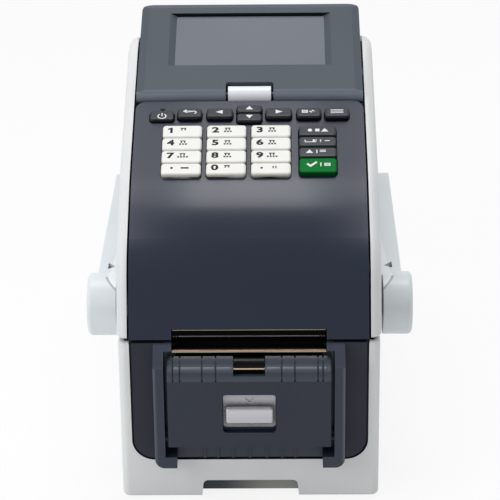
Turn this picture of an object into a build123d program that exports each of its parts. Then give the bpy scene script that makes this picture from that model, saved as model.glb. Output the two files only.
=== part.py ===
from build123d import *
import math
import os

# A desktop label printer. It stands on XY with its front towards -Y, in millimetres.
# In side profiles u runs back from the front face and z runs up.

# Casing
body_width = 110.0
seam_gap = 1.5
shell = 2.5
table_gap = 0.2
upright_round = 3.2
bottom_round = 1.8
seam_round = 1.2
overrun = 6.0
gap = 0.3
seam_length = 36.0
ramp_length = 36.0
deck_depth = 39.0
deck_lift = 29.5
deck_round = 4.0
notch_width = 41.0
notch_height = 8.3
notch_lean = 0.4
notch_round = 2.2

# Rear hinge of the lid
hinge_back = 12.0
barrel_radius = 6.5
hinge_pin_radius = 2.0
hinge_play = 0.06
ear_width = 10.9
ear_gap = 0.7
pin_head = 0.5

# Lid outline from the side: leaning front face, round brow, slope with the keys
face_lean = 9.5
face_height = 22.0
brow_radius = 33.7
brow_slope = 31.5
pad_slope = 19.4
bend_u = 49.9
pad_start = 17.4
pad_length = 29.7
bend_radius = 60.0
lid_overhang = 0.6
crown_back = 3.0
crown_radius = 35.0
rear_height = 20.1
rear_round = 8.0
panel = 2.2
top_round = 4.3

# Dark cover of the lid and the label slot in it
lid_rail = 5.3
cover_side_gap = 0.8
cover_wall = 2.0
cover_side = 2.2
cover_back = 7.0
slot_inset = 2.0
slot_lift = 4.8
cover_corner = 5.0

# Tilting display
display_slope = 16.0
axis_lift = 1.03
display_thick = 7.0
display_reach = 64.4
well_gap = 0.6
well_clear = 1.1
display_corner = 5.5
display_side_bevel = 3.4
display_side_drop = 0.8
display_bevel = 4.6
display_bevel_drop = 1.4
window_margin = 16.3
window_front = 16.4
window_length = 39.4
window_depth = 2.5
window_glass = 1.1
window_slope = 2.9
knuckle_width = 19.0
knuckle_radius = 4.0
knuckle_foot = 5.0
knuckle_gap = 1.1
knuckle_round = 1.5
knuckle_pin = 1.5
knuckle_reach = 5.0
knuckle_play = 0.08

# Keys, placed on the slope: s runs up the slope from the pad datum
key_gap = 0.3
key_depth_below = 2.9
key_tab = 0.55
key_board_gap = 0.1
key_travel = 0.8
key_round = 1.0
key_corner = 1.6
pad_corner = 2.0
keypad_margin = 6.4
number_height = 2.0
number_seam = 2.1
number_pitch_share = 0.4397
number_centre_share = -0.2232
number_pitch_s = 8.3
number_far_s = 9.3
number_last_length = 7.2
side_share = 0.6765
side_width_share = 0.3736
side_height = 2.0
side_pitch = 7.0
side_far_s = 9.0
enter_length = 9.6
function_length = 6.5
up_down_width_share = 0.2551
up_down_s = 21.3
up_down_pitch = 5.8
function_s = 21.1
function_height = 2.4
power_s = 20.3
power_height = 1.6
function_shares = {
    "key_back": (-0.5968, 0.246),
    "key_left": (-0.2961, 0.2642),
    "key_right": (0.2938, 0.2642),
    "key_feed": (0.5945, 0.246),
    "key_menu": (0.877, 0.246),
}
power_shares = (-0.8747, 0.246)
number_keys = (
    ("key_1", "key_2", "key_3"),
    ("key_4", "key_5", "key_6"),
    ("key_7", "key_8", "key_9"),
    ("key_symbol", "key_0", "key_point"),
)
side_keys = ("key_mode", "key_space", "key_case")
board_thick = 1.6
board_near_s = -21.0
board_far_s = 25.5
indicator_s = 26.4
indicator_radius = 1.1
indicator_proud = 0.2

# Roll compartment
media_u = 104.0
media_floor = 14.5
liner = 1.8
liner_end = 2.2
compartment_margin = 9.0
flange = 2.2
liner_front = 26.0

# Media guides on a rack and pinion under the compartment floor
media_end_gap = 1.0
media_least = 9.5
guide_thick = 3.0
guide_radius = 30.0
guide_drop = 27.0
guide_foot = 20.0
guide_floor_gap = 0.4
rack_module = 1.0
rack_lead = 2
rack_thick = 3.0
rack_body = 3.0
rack_pinion_teeth = 14
rack_floor = 6.0
pin_radius = 1.5

# Platen, its bearings and its gear train
platen_u = 12.0
platen_drop = 7.5
platen_radius = 6.0
platen_end_gap = 1.5
shaft_radius = 2.5
shaft_play = 0.06
cheek_gap = 3.0
cheek_thick = 3.5
cheek_drop = 33.0
cheek_front = 6.2
cheek_rear = 46.0
bearing_radius = 4.4
bearing_flange = 5.4
bearing_rim = 1.0
gear_module = 0.8
platen_teeth = 16
idler_teeth = 32
motor_teeth = 12
gear_width = 4.0
gear_gap = 4.5
pressure_angle = 20.0
backlash = 0.16
addendum_share = 0.9
dedendum_share = 1.25
idler_angle = -58.6
motor_angle = -61.0
idler_bore = 2.0
motor_radius = 16.5
motor_length = 20.0
motor_flange = 1.6
motor_shaft = 1.5
fit_play = 0.02
seat_play = 0.1

# Front bezel and peeler
bezel_margin = 5.6
bezel_bottom = 19.4
bezel_height = 55.6
bezel_corner = 8.7
bezel_gap = 0.9
bezel_flange = 1.5
peeler_reach = 8.0
rail_margin = 14.8
rail_width = 4.4
rail_drop = 7.5
rail_foot = 0.6
rail_round = 4.2
foot_length = 4.9
rail_foot_height = 5.2
shoulder_reach = 2.9
pan_drop = 15.0
pan_thick = 2.0
rib_proud = 0.8
rib_width = 0.9
rib_places = (-19.3, -13.7, -7.2, 0.0, 7.2, 13.7, 19.3)
bar_end_gap = 0.2
bar_drop = 5.0
bar_thick = 1.2
bar_round = 0.5
bar_front = -1.0
bar_back = 3.4

# Peeler door
door_side_gap = 1.3
door_lift = 9.6
door_drop = 15.0
door_round = 10.0
door_sweep_angle = 66.0
door_depth = 6.0
door_wall = 2.4
door_pivot_u = -4.0
door_pivot_lift = 2.5
door_pin = 1.5
door_pin_reach = 2.4
door_play = 0.08
door_edge = 0.6
groove_width = 0.7
groove_depth = 0.8
groove_shares = (-0.925, -0.84, -0.572, -0.405, 0.395, 0.555, 0.835, 0.895)
peel_window = 13.4
peel_window_drop = 12.6
peel_roller_radius = 3.3
peel_roller_u = -2.9
peel_roller_drop = 9.6
peel_shaft = 1.4
peel_rib = 2.2

# Peeler latch
latch_width = 22.0
latch_height = 15.4
latch_lift = 1.3
latch_travel = 1.9
latch_thick = 0.9
latch_recess = 2.4
latch_wall = 1.5
latch_play = 0.15
latch_corner = 1.4
latch_bar_width = 19.6
latch_bar_height = 6.9
latch_bar_drop = 5.5
latch_bar_reach = 1.6
latch_bar_round = 1.0
latch_bar_edge = 0.8
latch_stem_width = 8.0
latch_stem_height = 5.0
latch_keeper = 1.2
latch_mark = 4.0
latch_mark_depth = 0.4

# Release levers
grip_u = 42.0
grip_drop = 2.6
grip_radius = 13.6
grip_gap = 2.5
grip_width = 12.6
grip_round = 2.0
arm_gap = 1.2
arm_thick = 9.5
arm_lift = 10.6
arm_drop = 9.0
lever_end = 10.0
lever_drop = 3.5
lever_length = 131.0
lever_round = 4.0
boss_radius = 8.5
boss_gap = 0.3
lever_pin = 4.0
lever_play = 0.08
lever_reach = 0.5
pocket_inner = 3.4
pocket_outer = 7.0
pocket_start = 8.4
pocket_middle = 11.0
pocket_end = 15.4
pocket_depth = 5.0

# Print head and tear bar in the lid
head_end_gap = 1.0
head_front = 7.0
head_back = 25.0
head_clear = 0.3
head_thick = 2.4
fin_thick = 1.2
fin_count = 5
fin_height = 1.6
shelf_lift = 9.0
shelf_thick = 2.0
lip_lift = 4.5
lip_front = 7.8
lip_thick = 2.0
spring_u = 17.0
spring_inset = 12.0
spring_radius = 2.6
spring_wire = 0.5
spring_turns = 4
blade_thick = 0.6
blade_u = 1.5
blade_back = 11.0
blade_end_gap = 0.5
blade_lift = 1.2
blade_teeth = 60
blade_tooth = 0.9

# Floor plate, feet, screws, board and sockets
plate_bottom = 2.0
plate_thick = 1.8
plate_front = 3.6
foot_radius = 6.0
foot_height = 2.0
foot_edge = 0.6
foot_inset = 15.0
foot_front_u = 22.0
foot_rear_inset = 19.0
screw_inset = 8.0
screw_front_u = 10.0
screw_rear_inset = 10.0
screw_radius = 1.5
screw_length = 10.0
screw_head = 2.8
screw_head_height = 1.2
screw_play = 0.1
post_radius = 4.0
post_top = 16.0
board_margin = 13.0
board_bottom = 12.0
board_top_gap = 8.5
socket_z = 24.0
socket_gap = 0.5
socket_proud = 1.6
socket_depth = 10.0
power_socket = (9.0, 11.0)
usb_socket = (12.0, 11.0)
network_socket = (16.0, 13.5)
serial_socket = (19.0, 9.5)
socket_shares = (-0.786, -0.381, 0.119, 0.69)

# Derived places
seam_height = bezel_bottom + bezel_height
lower_lid_line = seam_height + seam_gap / 2
upper_body_line = seam_height - seam_gap / 2
deck_height = seam_height + deck_lift
lid_deck_line = deck_height + seam_gap
seam_back = media_u + seam_length
deck_front = seam_back + ramp_length
body_depth = deck_front + deck_depth
peeler_front = peeler_reach + latch_bar_reach
front = -(body_depth - peeler_front) / 2
hinge_u = body_depth - hinge_back
hinge_z = lid_deck_line + barrel_radius
half = body_width / 2
lid_half = half + lid_overhang
cover_half = lid_half - lid_rail
keypad_half = cover_half - keypad_margin
window_half = cover_half - window_margin
bezel_half = half - bezel_margin
rail_outer = half - rail_margin
rail_inner = rail_outer - rail_width
foot_inner = rail_inner - foot_length
door_half = rail_inner - door_side_gap
slot_half = door_half - slot_inset
platen_half = slot_half - platen_end_gap
cheek_inner = platen_half + cheek_gap
gear_x = -cheek_inner - cheek_thick - gear_gap - gear_width
guide_inner = platen_half + media_end_gap
guide_travel = guide_inner - media_least
head_half = platen_half - head_end_gap
spring_x = head_half - spring_inset
compartment_half = half - compartment_margin
ear_inner = half - ear_width
screw_x = half - screw_inset
foot_x = half - foot_inset
board_half = half - board_margin
roll_z = seam_height
roll_radius = roll_z - media_floor
liner_radius = roll_radius + liner
guide_z = roll_z - guide_drop
pad_tan = math.tan(math.radians(pad_slope))
brow_tan = math.tan(math.radians(brow_slope))
display_tan = math.tan(math.radians(display_slope))
display_cos = math.cos(math.radians(display_slope))
face_top = seam_height + face_height
face_angle = math.degrees(math.atan2(face_top - lower_lid_line, face_lean))
brow_turn = face_angle - brow_slope
brow_run = brow_radius * (math.sin(math.radians(face_angle)) - math.sin(math.radians(brow_slope)))
brow_rise = brow_radius * (math.cos(math.radians(brow_slope)) - math.cos(math.radians(face_angle)))
bend_z = face_top + brow_rise + (bend_u - face_lean - brow_run) * brow_tan
pad_u = bend_u + pad_start
pad_z = bend_z + pad_start * pad_tan
crown_u = seam_back + crown_back
cover_rear = seam_back + cover_back
slot_top = seam_height + slot_lift
well_front = pad_u + pad_length
axis_u = well_front + well_clear + display_thick / 2
axis_z = pad_z + pad_length * pad_tan + axis_lift
display_rear_u = axis_u + display_reach
window_near = axis_u + window_front
window_far = window_near + window_length
platen_z = seam_height - platen_drop
cheek_foot = seam_height - cheek_drop
rail_step = seam_height - rail_drop
rail_bottom = bezel_bottom - rail_foot
foot_top = rail_bottom + rail_foot_height
pan_top = seam_height - pan_drop
bar_z = seam_height - bar_drop
door_bottom = bezel_bottom + door_lift
door_line = seam_height - door_drop
door_pivot_z = door_bottom + door_pivot_lift
peel_window_bottom = seam_height - peel_window_drop
peel_roller_z = seam_height - peel_roller_drop
stem_z = (door_bottom + door_line) / 2 + latch_lift
latch_bottom = stem_z - latch_height / 2
latch_top = stem_z + latch_height / 2
latch_bar_top = latch_top - latch_bar_drop
latch_bar_bottom = latch_bar_top - latch_bar_height
grip_z = seam_height - grip_drop
arm_top_front = seam_height + arm_lift
arm_bottom_front = seam_height - arm_drop
lever_rear = grip_u + lever_length
lever_u = lever_rear - lever_end
lever_z = seam_height - lever_drop
shelf_z = seam_height + shelf_lift
lip_z = seam_height + lip_lift
blade_tip = seam_height + blade_lift
foot_rear_u = body_depth - foot_rear_inset
screw_rear_u = body_depth - screw_rear_inset
board_top = deck_height - board_top_gap
ramp_slope = (lid_deck_line - lower_lid_line) / (deck_front - seam_back)
head_z = platen_z + platen_radius + head_clear
socket_sizes = (power_socket, usb_socket, network_socket, serial_socket)
sockets = [(share * board_half, *size) for share, size in zip(socket_shares, socket_sizes)]
number_length = number_pitch_s - key_gap
side_length = side_pitch - key_gap
up_down_length = up_down_pitch - key_gap
side_near = side_far_s - (len(side_keys) - 1) * side_pitch - side_length / 2
enter_s = side_near - key_gap - enter_length / 2
number_pitch_x = number_pitch_share * keypad_half
number_width = number_pitch_x - number_seam
number_centre_x = number_centre_share * keypad_half
side_x = side_share * keypad_half
side_width = side_width_share * keypad_half
up_down_width = up_down_width_share * keypad_half
power_x = power_shares[0] * keypad_half
function_keys = {"key_power": (power_x, power_s, power_shares[1] * keypad_half, power_height)}
for name, (place, width) in function_shares.items():
    function_keys[name] = (place * keypad_half, function_s, width * keypad_half, function_height)


def pad_height(u):
    return pad_z + (u - pad_u) * pad_tan


def display_height(u):
    return axis_z + display_thick / 2 / display_cos + (u - axis_u) * display_tan


def side(x):
    return Plane(origin=(x, front, 0), x_dir=(0, 1, 0), z_dir=(1, 0, 0))


def face(u):
    return Plane(origin=(0, front + u, 0), x_dir=(1, 0, 0), z_dir=(0, -1, 0))


def level(z):
    return Plane(origin=(0, front, z), x_dir=(1, 0, 0), z_dir=(0, 0, 1))


def slope(h):
    # h above the slope with the keys
    a = math.radians(pad_slope)
    origin = (0, front + pad_u - h * math.sin(a), pad_z + h * math.cos(a))
    return Plane(origin=origin, x_dir=(1, 0, 0), z_dir=(0, -math.sin(a), math.cos(a)))


def screen(h):
    # h above the top of the display, from its tilt axis
    a = math.radians(display_slope)
    up = display_thick / 2 + h
    origin = (0, front + axis_u - up * math.sin(a), axis_z + up * math.cos(a))
    return Plane(origin=origin, x_dir=(1, 0, 0), z_dir=(0, -math.sin(a), math.cos(a)))


def screen_s(u):
    return (u - axis_u) / math.cos(math.radians(display_slope)) + display_thick / 2 * display_tan


def write(piece, name):
    piece.part.label = name
    export_step(piece.part, f"parts/{name}.step")


os.makedirs("parts", exist_ok=True)


# Outline of the lid from the side, with a given tail from the bend back to the seam
def lid_face(tail, drop):
    lean = face_lean / (face_top - lower_lid_line)
    start = (-drop * lean, lower_lid_line - drop)
    with BuildSketch() as outline:
        with BuildLine():
            rise = Line(start, (face_lean, face_top))
            brow = JernArc(rise @ 1, rise % 1, brow_radius, -brow_turn)
            Line(brow @ 1, (bend_u, bend_z))
            Polyline((bend_u, bend_z), *[point for point, radius in tail], start)
        make_face()
        corners = [((bend_u, bend_z), bend_radius)] + tail
        for point, radius in corners:
            if radius:
                fillet(outline.vertices().sort_by_distance(Vector(*point))[0], radius)
    return outline.sketch


# Lower casing: an open tub with the front cut away for the bezel, a rear deck and hinge ears
with BuildPart() as bottom_housing:
    with BuildSketch(side(0)) as profile:
        with BuildLine():
            Polyline(
                (0, table_gap),
                (0, upper_body_line),
                (seam_back, upper_body_line),
                (deck_front, deck_height),
                (body_depth, deck_height),
                (body_depth, table_gap),
                close=True,
            )
        make_face()
        fillet(profile.vertices().sort_by_distance(Vector(body_depth, deck_height))[0], deck_round)
    extrude(amount=half, both=True)
    front_edges = bottom_housing.edges().filter_by(Axis.Z).group_by(Axis.Y)
    fillet(front_edges[0] + front_edges[-1], upright_round)
    fillet(bottom_housing.faces().sort_by(Axis.Z)[0].edges(), bottom_round)
    rims = []
    for rim_face in (bottom_housing.faces().sort_by(Axis.X)[0], bottom_housing.faces().sort_by(Axis.X)[-1]):
        rims += [edge for edge in rim_face.edges() if edge.center().Z > upper_body_line - gap]
    fillet(rims, seam_round)
    with BuildSketch(side(0)):
        with BuildLine():
            Polyline(
                (shell, -overrun),
                (shell, seam_height + overrun),
                (seam_back, seam_height + overrun),
                (deck_front, deck_height + overrun),
                (deck_front, deck_height - shell),
                (body_depth - shell, deck_height - shell),
                (body_depth - shell, -overrun),
                close=True,
            )
        make_face()
    extrude(amount=half - shell, both=True, mode=Mode.SUBTRACT)
    # opening for the bezel
    with BuildSketch(face(0)) as window:
        with Locations((0, bezel_bottom - bezel_gap)):
            Rectangle(2 * bezel_half + 2 * bezel_gap, seam_height, align=(Align.CENTER, Align.MIN))
        fillet(window.vertices().group_by(Axis.Y)[0], bezel_corner + bezel_gap)
    extrude(amount=-shell - gap, mode=Mode.SUBTRACT)
    # notch in the apron
    with BuildSketch(face(0)) as notch:
        with BuildLine():
            Polyline(
                (-notch_width / 2 - notch_lean, 0),
                (-notch_width / 2 + notch_lean, notch_height),
                (notch_width / 2 - notch_lean, notch_height),
                (notch_width / 2 + notch_lean, 0),
                close=True,
            )
        make_face()
        fillet(notch.vertices().group_by(Axis.Y)[-1], notch_round)
    extrude(amount=-shell - gap, mode=Mode.SUBTRACT)
    # screw posts
    with BuildSketch(level(post_top)):
        for u in (screw_front_u, screw_rear_u):
            for x in (-screw_x, screw_x):
                with Locations((x, u)):
                    Circle(post_radius)
                with Locations(((x + math.copysign(half - shell, x)) / 2, u)):
                    Rectangle(half - shell - screw_x, 2 * post_radius)
    extrude(amount=plate_bottom + plate_thick - post_top)
    with BuildSketch(level(plate_bottom)):
        for u in (screw_front_u, screw_rear_u):
            with Locations((-screw_x, u), (screw_x, u)):
                Circle(screw_radius + screw_play)
    extrude(amount=screw_length + gap, mode=Mode.SUBTRACT)
    # hinge ears
    for x in (-half, ear_inner):
        with BuildSketch(side(x)):
            with Locations((hinge_u, hinge_z)):
                Circle(barrel_radius)
            with Locations((hinge_u, (hinge_z + deck_height - shell) / 2)):
                Rectangle(2 * barrel_radius, hinge_z - deck_height + shell)
        extrude(amount=half - ear_inner)
    with BuildSketch(side(0)):
        with Locations((hinge_u, hinge_z)):
            Circle(hinge_pin_radius + hinge_play)
    extrude(amount=half - shell, both=True, mode=Mode.SUBTRACT)
    # pivots of the release levers
    with BuildSketch(side(0)):
        with Locations((lever_u, lever_z)):
            Circle(lever_pin + lever_play)
    extrude(amount=half + overrun, both=True, mode=Mode.SUBTRACT)
    # socket openings in the rear wall
    with BuildSketch(face(body_depth)):
        for x, width, height in sockets:
            with Locations((x, socket_z)):
                Rectangle(width + 2 * socket_gap, height + 2 * socket_gap)
    extrude(amount=shell + gap, mode=Mode.SUBTRACT)
write(bottom_housing, "bottom_housing")

# Floor plate with round screw holes
with BuildPart() as base_plate:
    with BuildSketch(level(plate_bottom)) as outline:
        with Locations((0, (plate_front + body_depth - shell - gap) / 2)):
            Rectangle(body_width - 2 * shell - 2 * gap, body_depth - shell - gap - plate_front)
        fillet(outline.vertices(), notch_round)
        for u in (screw_front_u, screw_rear_u):
            with Locations((-screw_x, u), (screw_x, u)):
                Circle(screw_radius + screw_play, mode=Mode.SUBTRACT)
    extrude(amount=plate_thick)
    # stub that carries the rack pinion
    with BuildSketch(level(plate_bottom + plate_thick)):
        with Locations((0, media_u)):
            Circle(pin_radius)
    extrude(amount=rack_floor + rack_thick - plate_bottom - plate_thick)
    with BuildSketch(level(plate_bottom + plate_thick)):
        with Locations((0, media_u)):
            Circle(2 * pin_radius)
    extrude(amount=rack_floor - plate_bottom - plate_thick - gap)
    # lip behind the notch of the apron
    with BuildSketch(face(plate_front)):
        with Locations((0, plate_bottom)):
            Rectangle(notch_width + 2 * notch_round, notch_height, align=(Align.CENTER, Align.MIN))
    extrude(amount=-plate_thick)
    # feet
    with BuildSketch(level(0)):
        for u in (foot_front_u, foot_rear_u):
            with Locations((-foot_x, u), (foot_x, u)):
                Circle(foot_radius)
    extrude(amount=foot_height)
    chamfer(base_plate.faces().group_by(Axis.Z)[0].edges(), foot_edge)
write(base_plate, "base_plate")

with BuildPart() as case_screws:
    with BuildSketch(level(plate_bottom)):
        for u in (screw_front_u, screw_rear_u):
            with Locations((-screw_x, u), (screw_x, u)):
                Circle(screw_head)
    extrude(amount=-screw_head_height)
    with BuildSketch(level(plate_bottom)):
        for u in (screw_front_u, screw_rear_u):
            with Locations((-screw_x, u), (screw_x, u)):
                Circle(screw_radius)
    extrude(amount=screw_length)
write(case_screws, "case_screws")

# Bezel: two dark strips joined by a flange behind the apron
with BuildPart() as front_bezel:
    with BuildSketch(face(0)) as plate:
        with Locations((0, bezel_bottom)):
            Rectangle(2 * bezel_half, upper_body_line - bezel_bottom, align=(Align.CENTER, Align.MIN))
        fillet(plate.vertices().group_by(Axis.Y)[0], bezel_corner)
    extrude(amount=-shell - gap)
    flange_half = half - shell - gap
    with BuildSketch(face(shell + gap)) as back:
        with Locations((0, bezel_bottom - 2 * bezel_flange)):
            Rectangle(2 * flange_half, upper_body_line - bezel_bottom + 2 * bezel_flange,
                      align=(Align.CENTER, Align.MIN))
    extrude(amount=-bezel_flange)
    with BuildSketch(face(0)):
        with Locations((0, bezel_bottom)):
            Rectangle(2 * rail_inner - gap, seam_height, align=(Align.CENTER, Align.MIN))
    extrude(amount=-shell - bezel_flange - 2 * gap, mode=Mode.SUBTRACT)
write(front_bezel, "front_bezel")

# Peeler frame: two rails with feet, shoulders by the slot, and a ribbed pan behind the door
bevel_slope = (upper_body_line - rail_step) / peeler_reach
with BuildPart() as peeler_frame:
    for x in (-rail_outer, rail_inner):
        with BuildSketch(side(x)) as rail:
            with BuildLine():
                Polyline(
                    (0, upper_body_line),
                    (-peeler_reach, rail_step),
                    (-peeler_reach, rail_bottom),
                    (0, rail_bottom),
                    close=True,
                )
            make_face()
        extrude(amount=rail_outer - rail_inner)
    for x in (-rail_inner, foot_inner):
        with BuildSketch(side(x)):
            with Locations((-peeler_reach, rail_bottom)):
                Rectangle(peeler_reach, foot_top - rail_bottom, align=(Align.MIN, Align.MIN))
        extrude(amount=rail_inner - foot_inner)
    outer = peeler_frame.edges().filter_by(Axis.Y).group_by(Axis.Z)[0].sort_by(Axis.X)
    fillet([outer[0], outer[-1]], rail_round)
    for x in (-rail_inner, slot_half):
        with BuildSketch(side(x)):
            with BuildLine():
                Polyline(
                    (0, upper_body_line),
                    (-shoulder_reach, upper_body_line - shoulder_reach * bevel_slope),
                    (0, upper_body_line - shoulder_reach * bevel_slope),
                    close=True,
                )
            make_face()
        extrude(amount=rail_inner - slot_half)
    # pan, set in the bezel, its ribs and the ledges under the peel bar
    pan_half = rail_inner - gap
    with BuildSketch(face(0)):
        with Locations((0, bezel_bottom + gap)):
            Rectangle(2 * pan_half, pan_top - bezel_bottom - gap, align=(Align.CENTER, Align.MIN))
        for sign in (-1, 1):
            with Locations((sign * (pan_half + foot_inner) / 2, pan_top)):
                Rectangle(pan_half - foot_inner, bar_z - pan_top, align=(Align.CENTER, Align.MIN))
            with Locations((sign * (pan_half + slot_half) / 2, bar_z)):
                Rectangle(pan_half - slot_half, upper_body_line - bar_z,
                          align=(Align.CENTER, Align.MIN))
    extrude(amount=-pan_thick)
    with BuildSketch(face(0)):
        for x in rib_places:
            with Locations((x, bezel_bottom + gap)):
                Rectangle(rib_width, door_bottom - bezel_bottom, align=(Align.CENTER, Align.MIN))
    extrude(amount=rib_proud)
    # bores for the pins of the door
    for x in (-rail_inner, rail_inner):
        with BuildSketch(side(x)):
            with Locations((door_pivot_u, door_pivot_z)):
                Circle(door_pin + door_play)
        extrude(amount=math.copysign(door_pin_reach + gap, x), mode=Mode.SUBTRACT)
write(peeler_frame, "peeler_frame")

with BuildPart() as peel_bar:
    with BuildSketch(side(0)) as section:
        with Locations((bar_front, bar_z)):
            Rectangle(bar_back - bar_front, bar_thick, align=(Align.MIN, Align.MIN))
        fillet(section.vertices().group_by(Axis.X)[0], bar_round)
    extrude(amount=slot_half - bar_end_gap, both=True)
write(peel_bar, "peel_bar")


# Peeler door: a moulded shell with a rounded, grooved top band and a central window
band_u = -peeler_reach + door_round
door_back = -peeler_reach + door_depth
with BuildPart() as peeler_door:
    with BuildSketch(side(0)):
        with BuildLine():
            upright = Line((-peeler_reach, door_bottom), (-peeler_reach, door_line))
            band = JernArc(upright @ 1, (0, 1), door_round, -door_sweep_angle)
            Polyline(band @ 1, (door_back, (band @ 1).Y), (door_back, door_bottom), upright @ 0)
        make_face()
    extrude(amount=door_half, both=True)
    fillet(peeler_door.edges().filter_by(Axis.Z).group_by(Axis.Y)[0], door_edge)
    # hollow between the ribs that hold the roller
    peel_half = peel_window / 2
    for low, high in (
        (-door_half + door_wall, -peel_half - peel_rib),
        (-peel_half, peel_half),
        (peel_half + peel_rib, door_half - door_wall),
    ):
        with BuildSketch(side(low)):
            with Locations((-peeler_reach + door_wall, door_bottom + door_wall)):
                Rectangle(door_depth, door_line - door_bottom - door_wall, align=(Align.MIN, Align.MIN))
            with Locations((band_u, door_line)):
                Circle(door_round - door_wall)
            with Locations((band_u, door_bottom + door_wall)):
                Rectangle(2 * door_round, 2 * door_line, align=(Align.CENTER, Align.MIN),
                          mode=Mode.INTERSECT)
        extrude(amount=high - low, mode=Mode.SUBTRACT)
    with BuildSketch(side(0)):
        with Locations((band_u, peel_window_bottom)):
            Rectangle(3 * door_round, door_round, align=(Align.CENTER, Align.MIN))
    extrude(amount=peel_half, both=True, mode=Mode.SUBTRACT)
    with BuildSketch(side(0)):
        with Locations((peel_roller_u, peel_roller_z)):
            Circle(peel_shaft + shaft_play)
    extrude(amount=peel_half + peel_rib + gap, both=True, mode=Mode.SUBTRACT)
    # grooves across the band
    for share in groove_shares:
        with BuildSketch(side(share * door_half)):
            with Locations((band_u, door_line)):
                Circle(door_round + groove_depth)
                Circle(door_round - groove_depth, mode=Mode.SUBTRACT)
                Rectangle(3 * door_round, 2 * door_round, align=(Align.CENTER, Align.MIN),
                          mode=Mode.INTERSECT)
        extrude(amount=groove_width / 2, both=True, mode=Mode.SUBTRACT)
    # recess and slot of the latch, with a thicker wall behind them
    recess_low = latch_bottom - latch_travel - gap
    recess_high = latch_top + gap
    with BuildSketch(face(-peeler_reach + door_wall)):
        with Locations((0, (recess_low + recess_high) / 2)):
            Rectangle(latch_width + 2 * gap + 2 * latch_wall, recess_high - recess_low + 2 * latch_wall)
    extrude(amount=door_wall - latch_recess - latch_wall)
    with BuildSketch(face(-peeler_reach)) as recess:
        with Locations((0, (recess_low + recess_high) / 2)):
            Rectangle(latch_width + 2 * gap, recess_high - recess_low)
        fillet(recess.vertices(), latch_corner + gap)
    extrude(amount=-latch_recess, mode=Mode.SUBTRACT)
    with BuildSketch(face(-peeler_reach)):
        with Locations((0, stem_z - latch_travel / 2)):
            Rectangle(latch_stem_width + 2 * gap, latch_stem_height + latch_travel + 2 * gap)
    extrude(amount=-latch_recess - latch_wall - gap, mode=Mode.SUBTRACT)
    # hinge pins
    for x in (-door_half, door_half):
        with BuildSketch(side(x)):
            with Locations((door_pivot_u, door_pivot_z)):
                Circle(door_pin)
        extrude(amount=math.copysign(rail_inner - door_half + door_pin_reach, x))
write(peeler_door, "peeler_door")

with BuildPart() as peeler_roller:
    with BuildSketch(side(0)):
        with Locations((peel_roller_u, peel_roller_z)):
            Circle(peel_roller_radius)
    extrude(amount=peel_half - gap, both=True)
    with BuildSketch(side(0)):
        with Locations((peel_roller_u, peel_roller_z)):
            Circle(peel_shaft)
    extrude(amount=peel_half + peel_rib, both=True)
write(peeler_roller, "peeler_roller")

# Latch: a tile in the recess with a grip bar, a stem through the door and a keeper behind it
tile_u = -peeler_reach + latch_recess - latch_play
with BuildPart() as peeler_latch:
    with BuildSketch(face(tile_u)) as tile:
        with Locations((0, stem_z)):
            Rectangle(latch_width, latch_top - latch_bottom)
        fillet(tile.vertices(), latch_corner)
    extrude(amount=latch_thick)
    with BuildSketch(face(tile_u)) as bar:
        with Locations((0, (latch_bar_bottom + latch_bar_top) / 2)):
            Rectangle(latch_bar_width, latch_bar_top - latch_bar_bottom)
        fillet(bar.vertices(), latch_bar_round)
    extrude(amount=latch_bar_reach + latch_recess - latch_play)
    fillet(peeler_latch.faces().sort_by(Axis.Y)[0].edges(), latch_bar_edge)
    mark_z = (latch_top + latch_bar_top) / 2
    with BuildSketch(face(tile_u - latch_thick)):
        with BuildLine():
            Polyline(
                (-latch_mark / 2, mark_z + latch_mark / 4),
                (latch_mark / 2, mark_z + latch_mark / 4),
                (0, mark_z - latch_mark / 4),
                close=True,
            )
        make_face()
    extrude(amount=-latch_mark_depth, mode=Mode.SUBTRACT)
    with BuildSketch(face(tile_u)):
        with Locations((0, stem_z)):
            Rectangle(latch_stem_width, latch_stem_height)
    stem_end = -peeler_reach + latch_recess + latch_wall + latch_play
    extrude(amount=tile_u - stem_end)
    with BuildSketch(face(stem_end)):
        with Locations((0, stem_z)):
            Rectangle(peel_window - 2 * gap, latch_stem_height + 2 * latch_travel + 2 * gap)
    extrude(amount=-latch_keeper)
write(peeler_latch, "peeler_latch")


# Roll compartment: a half tub with end walls, a deck towards the platen and cheeks for its bearings
def seam_region(low, rise):
    # everything on one side of the seam, from the front to the rear deck
    top = seam_height + low
    with BuildSketch() as region:
        with BuildLine():
            Polyline(
                (-overrun, top),
                (seam_back, top),
                (deck_front - gap, deck_height + low),
                (deck_front - gap, rise),
                (-overrun, rise),
                close=True,
            )
        make_face()
    return region.sketch


def mesh_phase(phase, teeth, direction, other_teeth):
    # angle of one tooth of the other gear, with a tooth of the first one at the given phase
    offset = (phase - direction) * teeth / other_teeth
    half_turn = math.degrees(math.pi)
    return direction + half_turn - offset + half_turn / other_teeth


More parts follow.
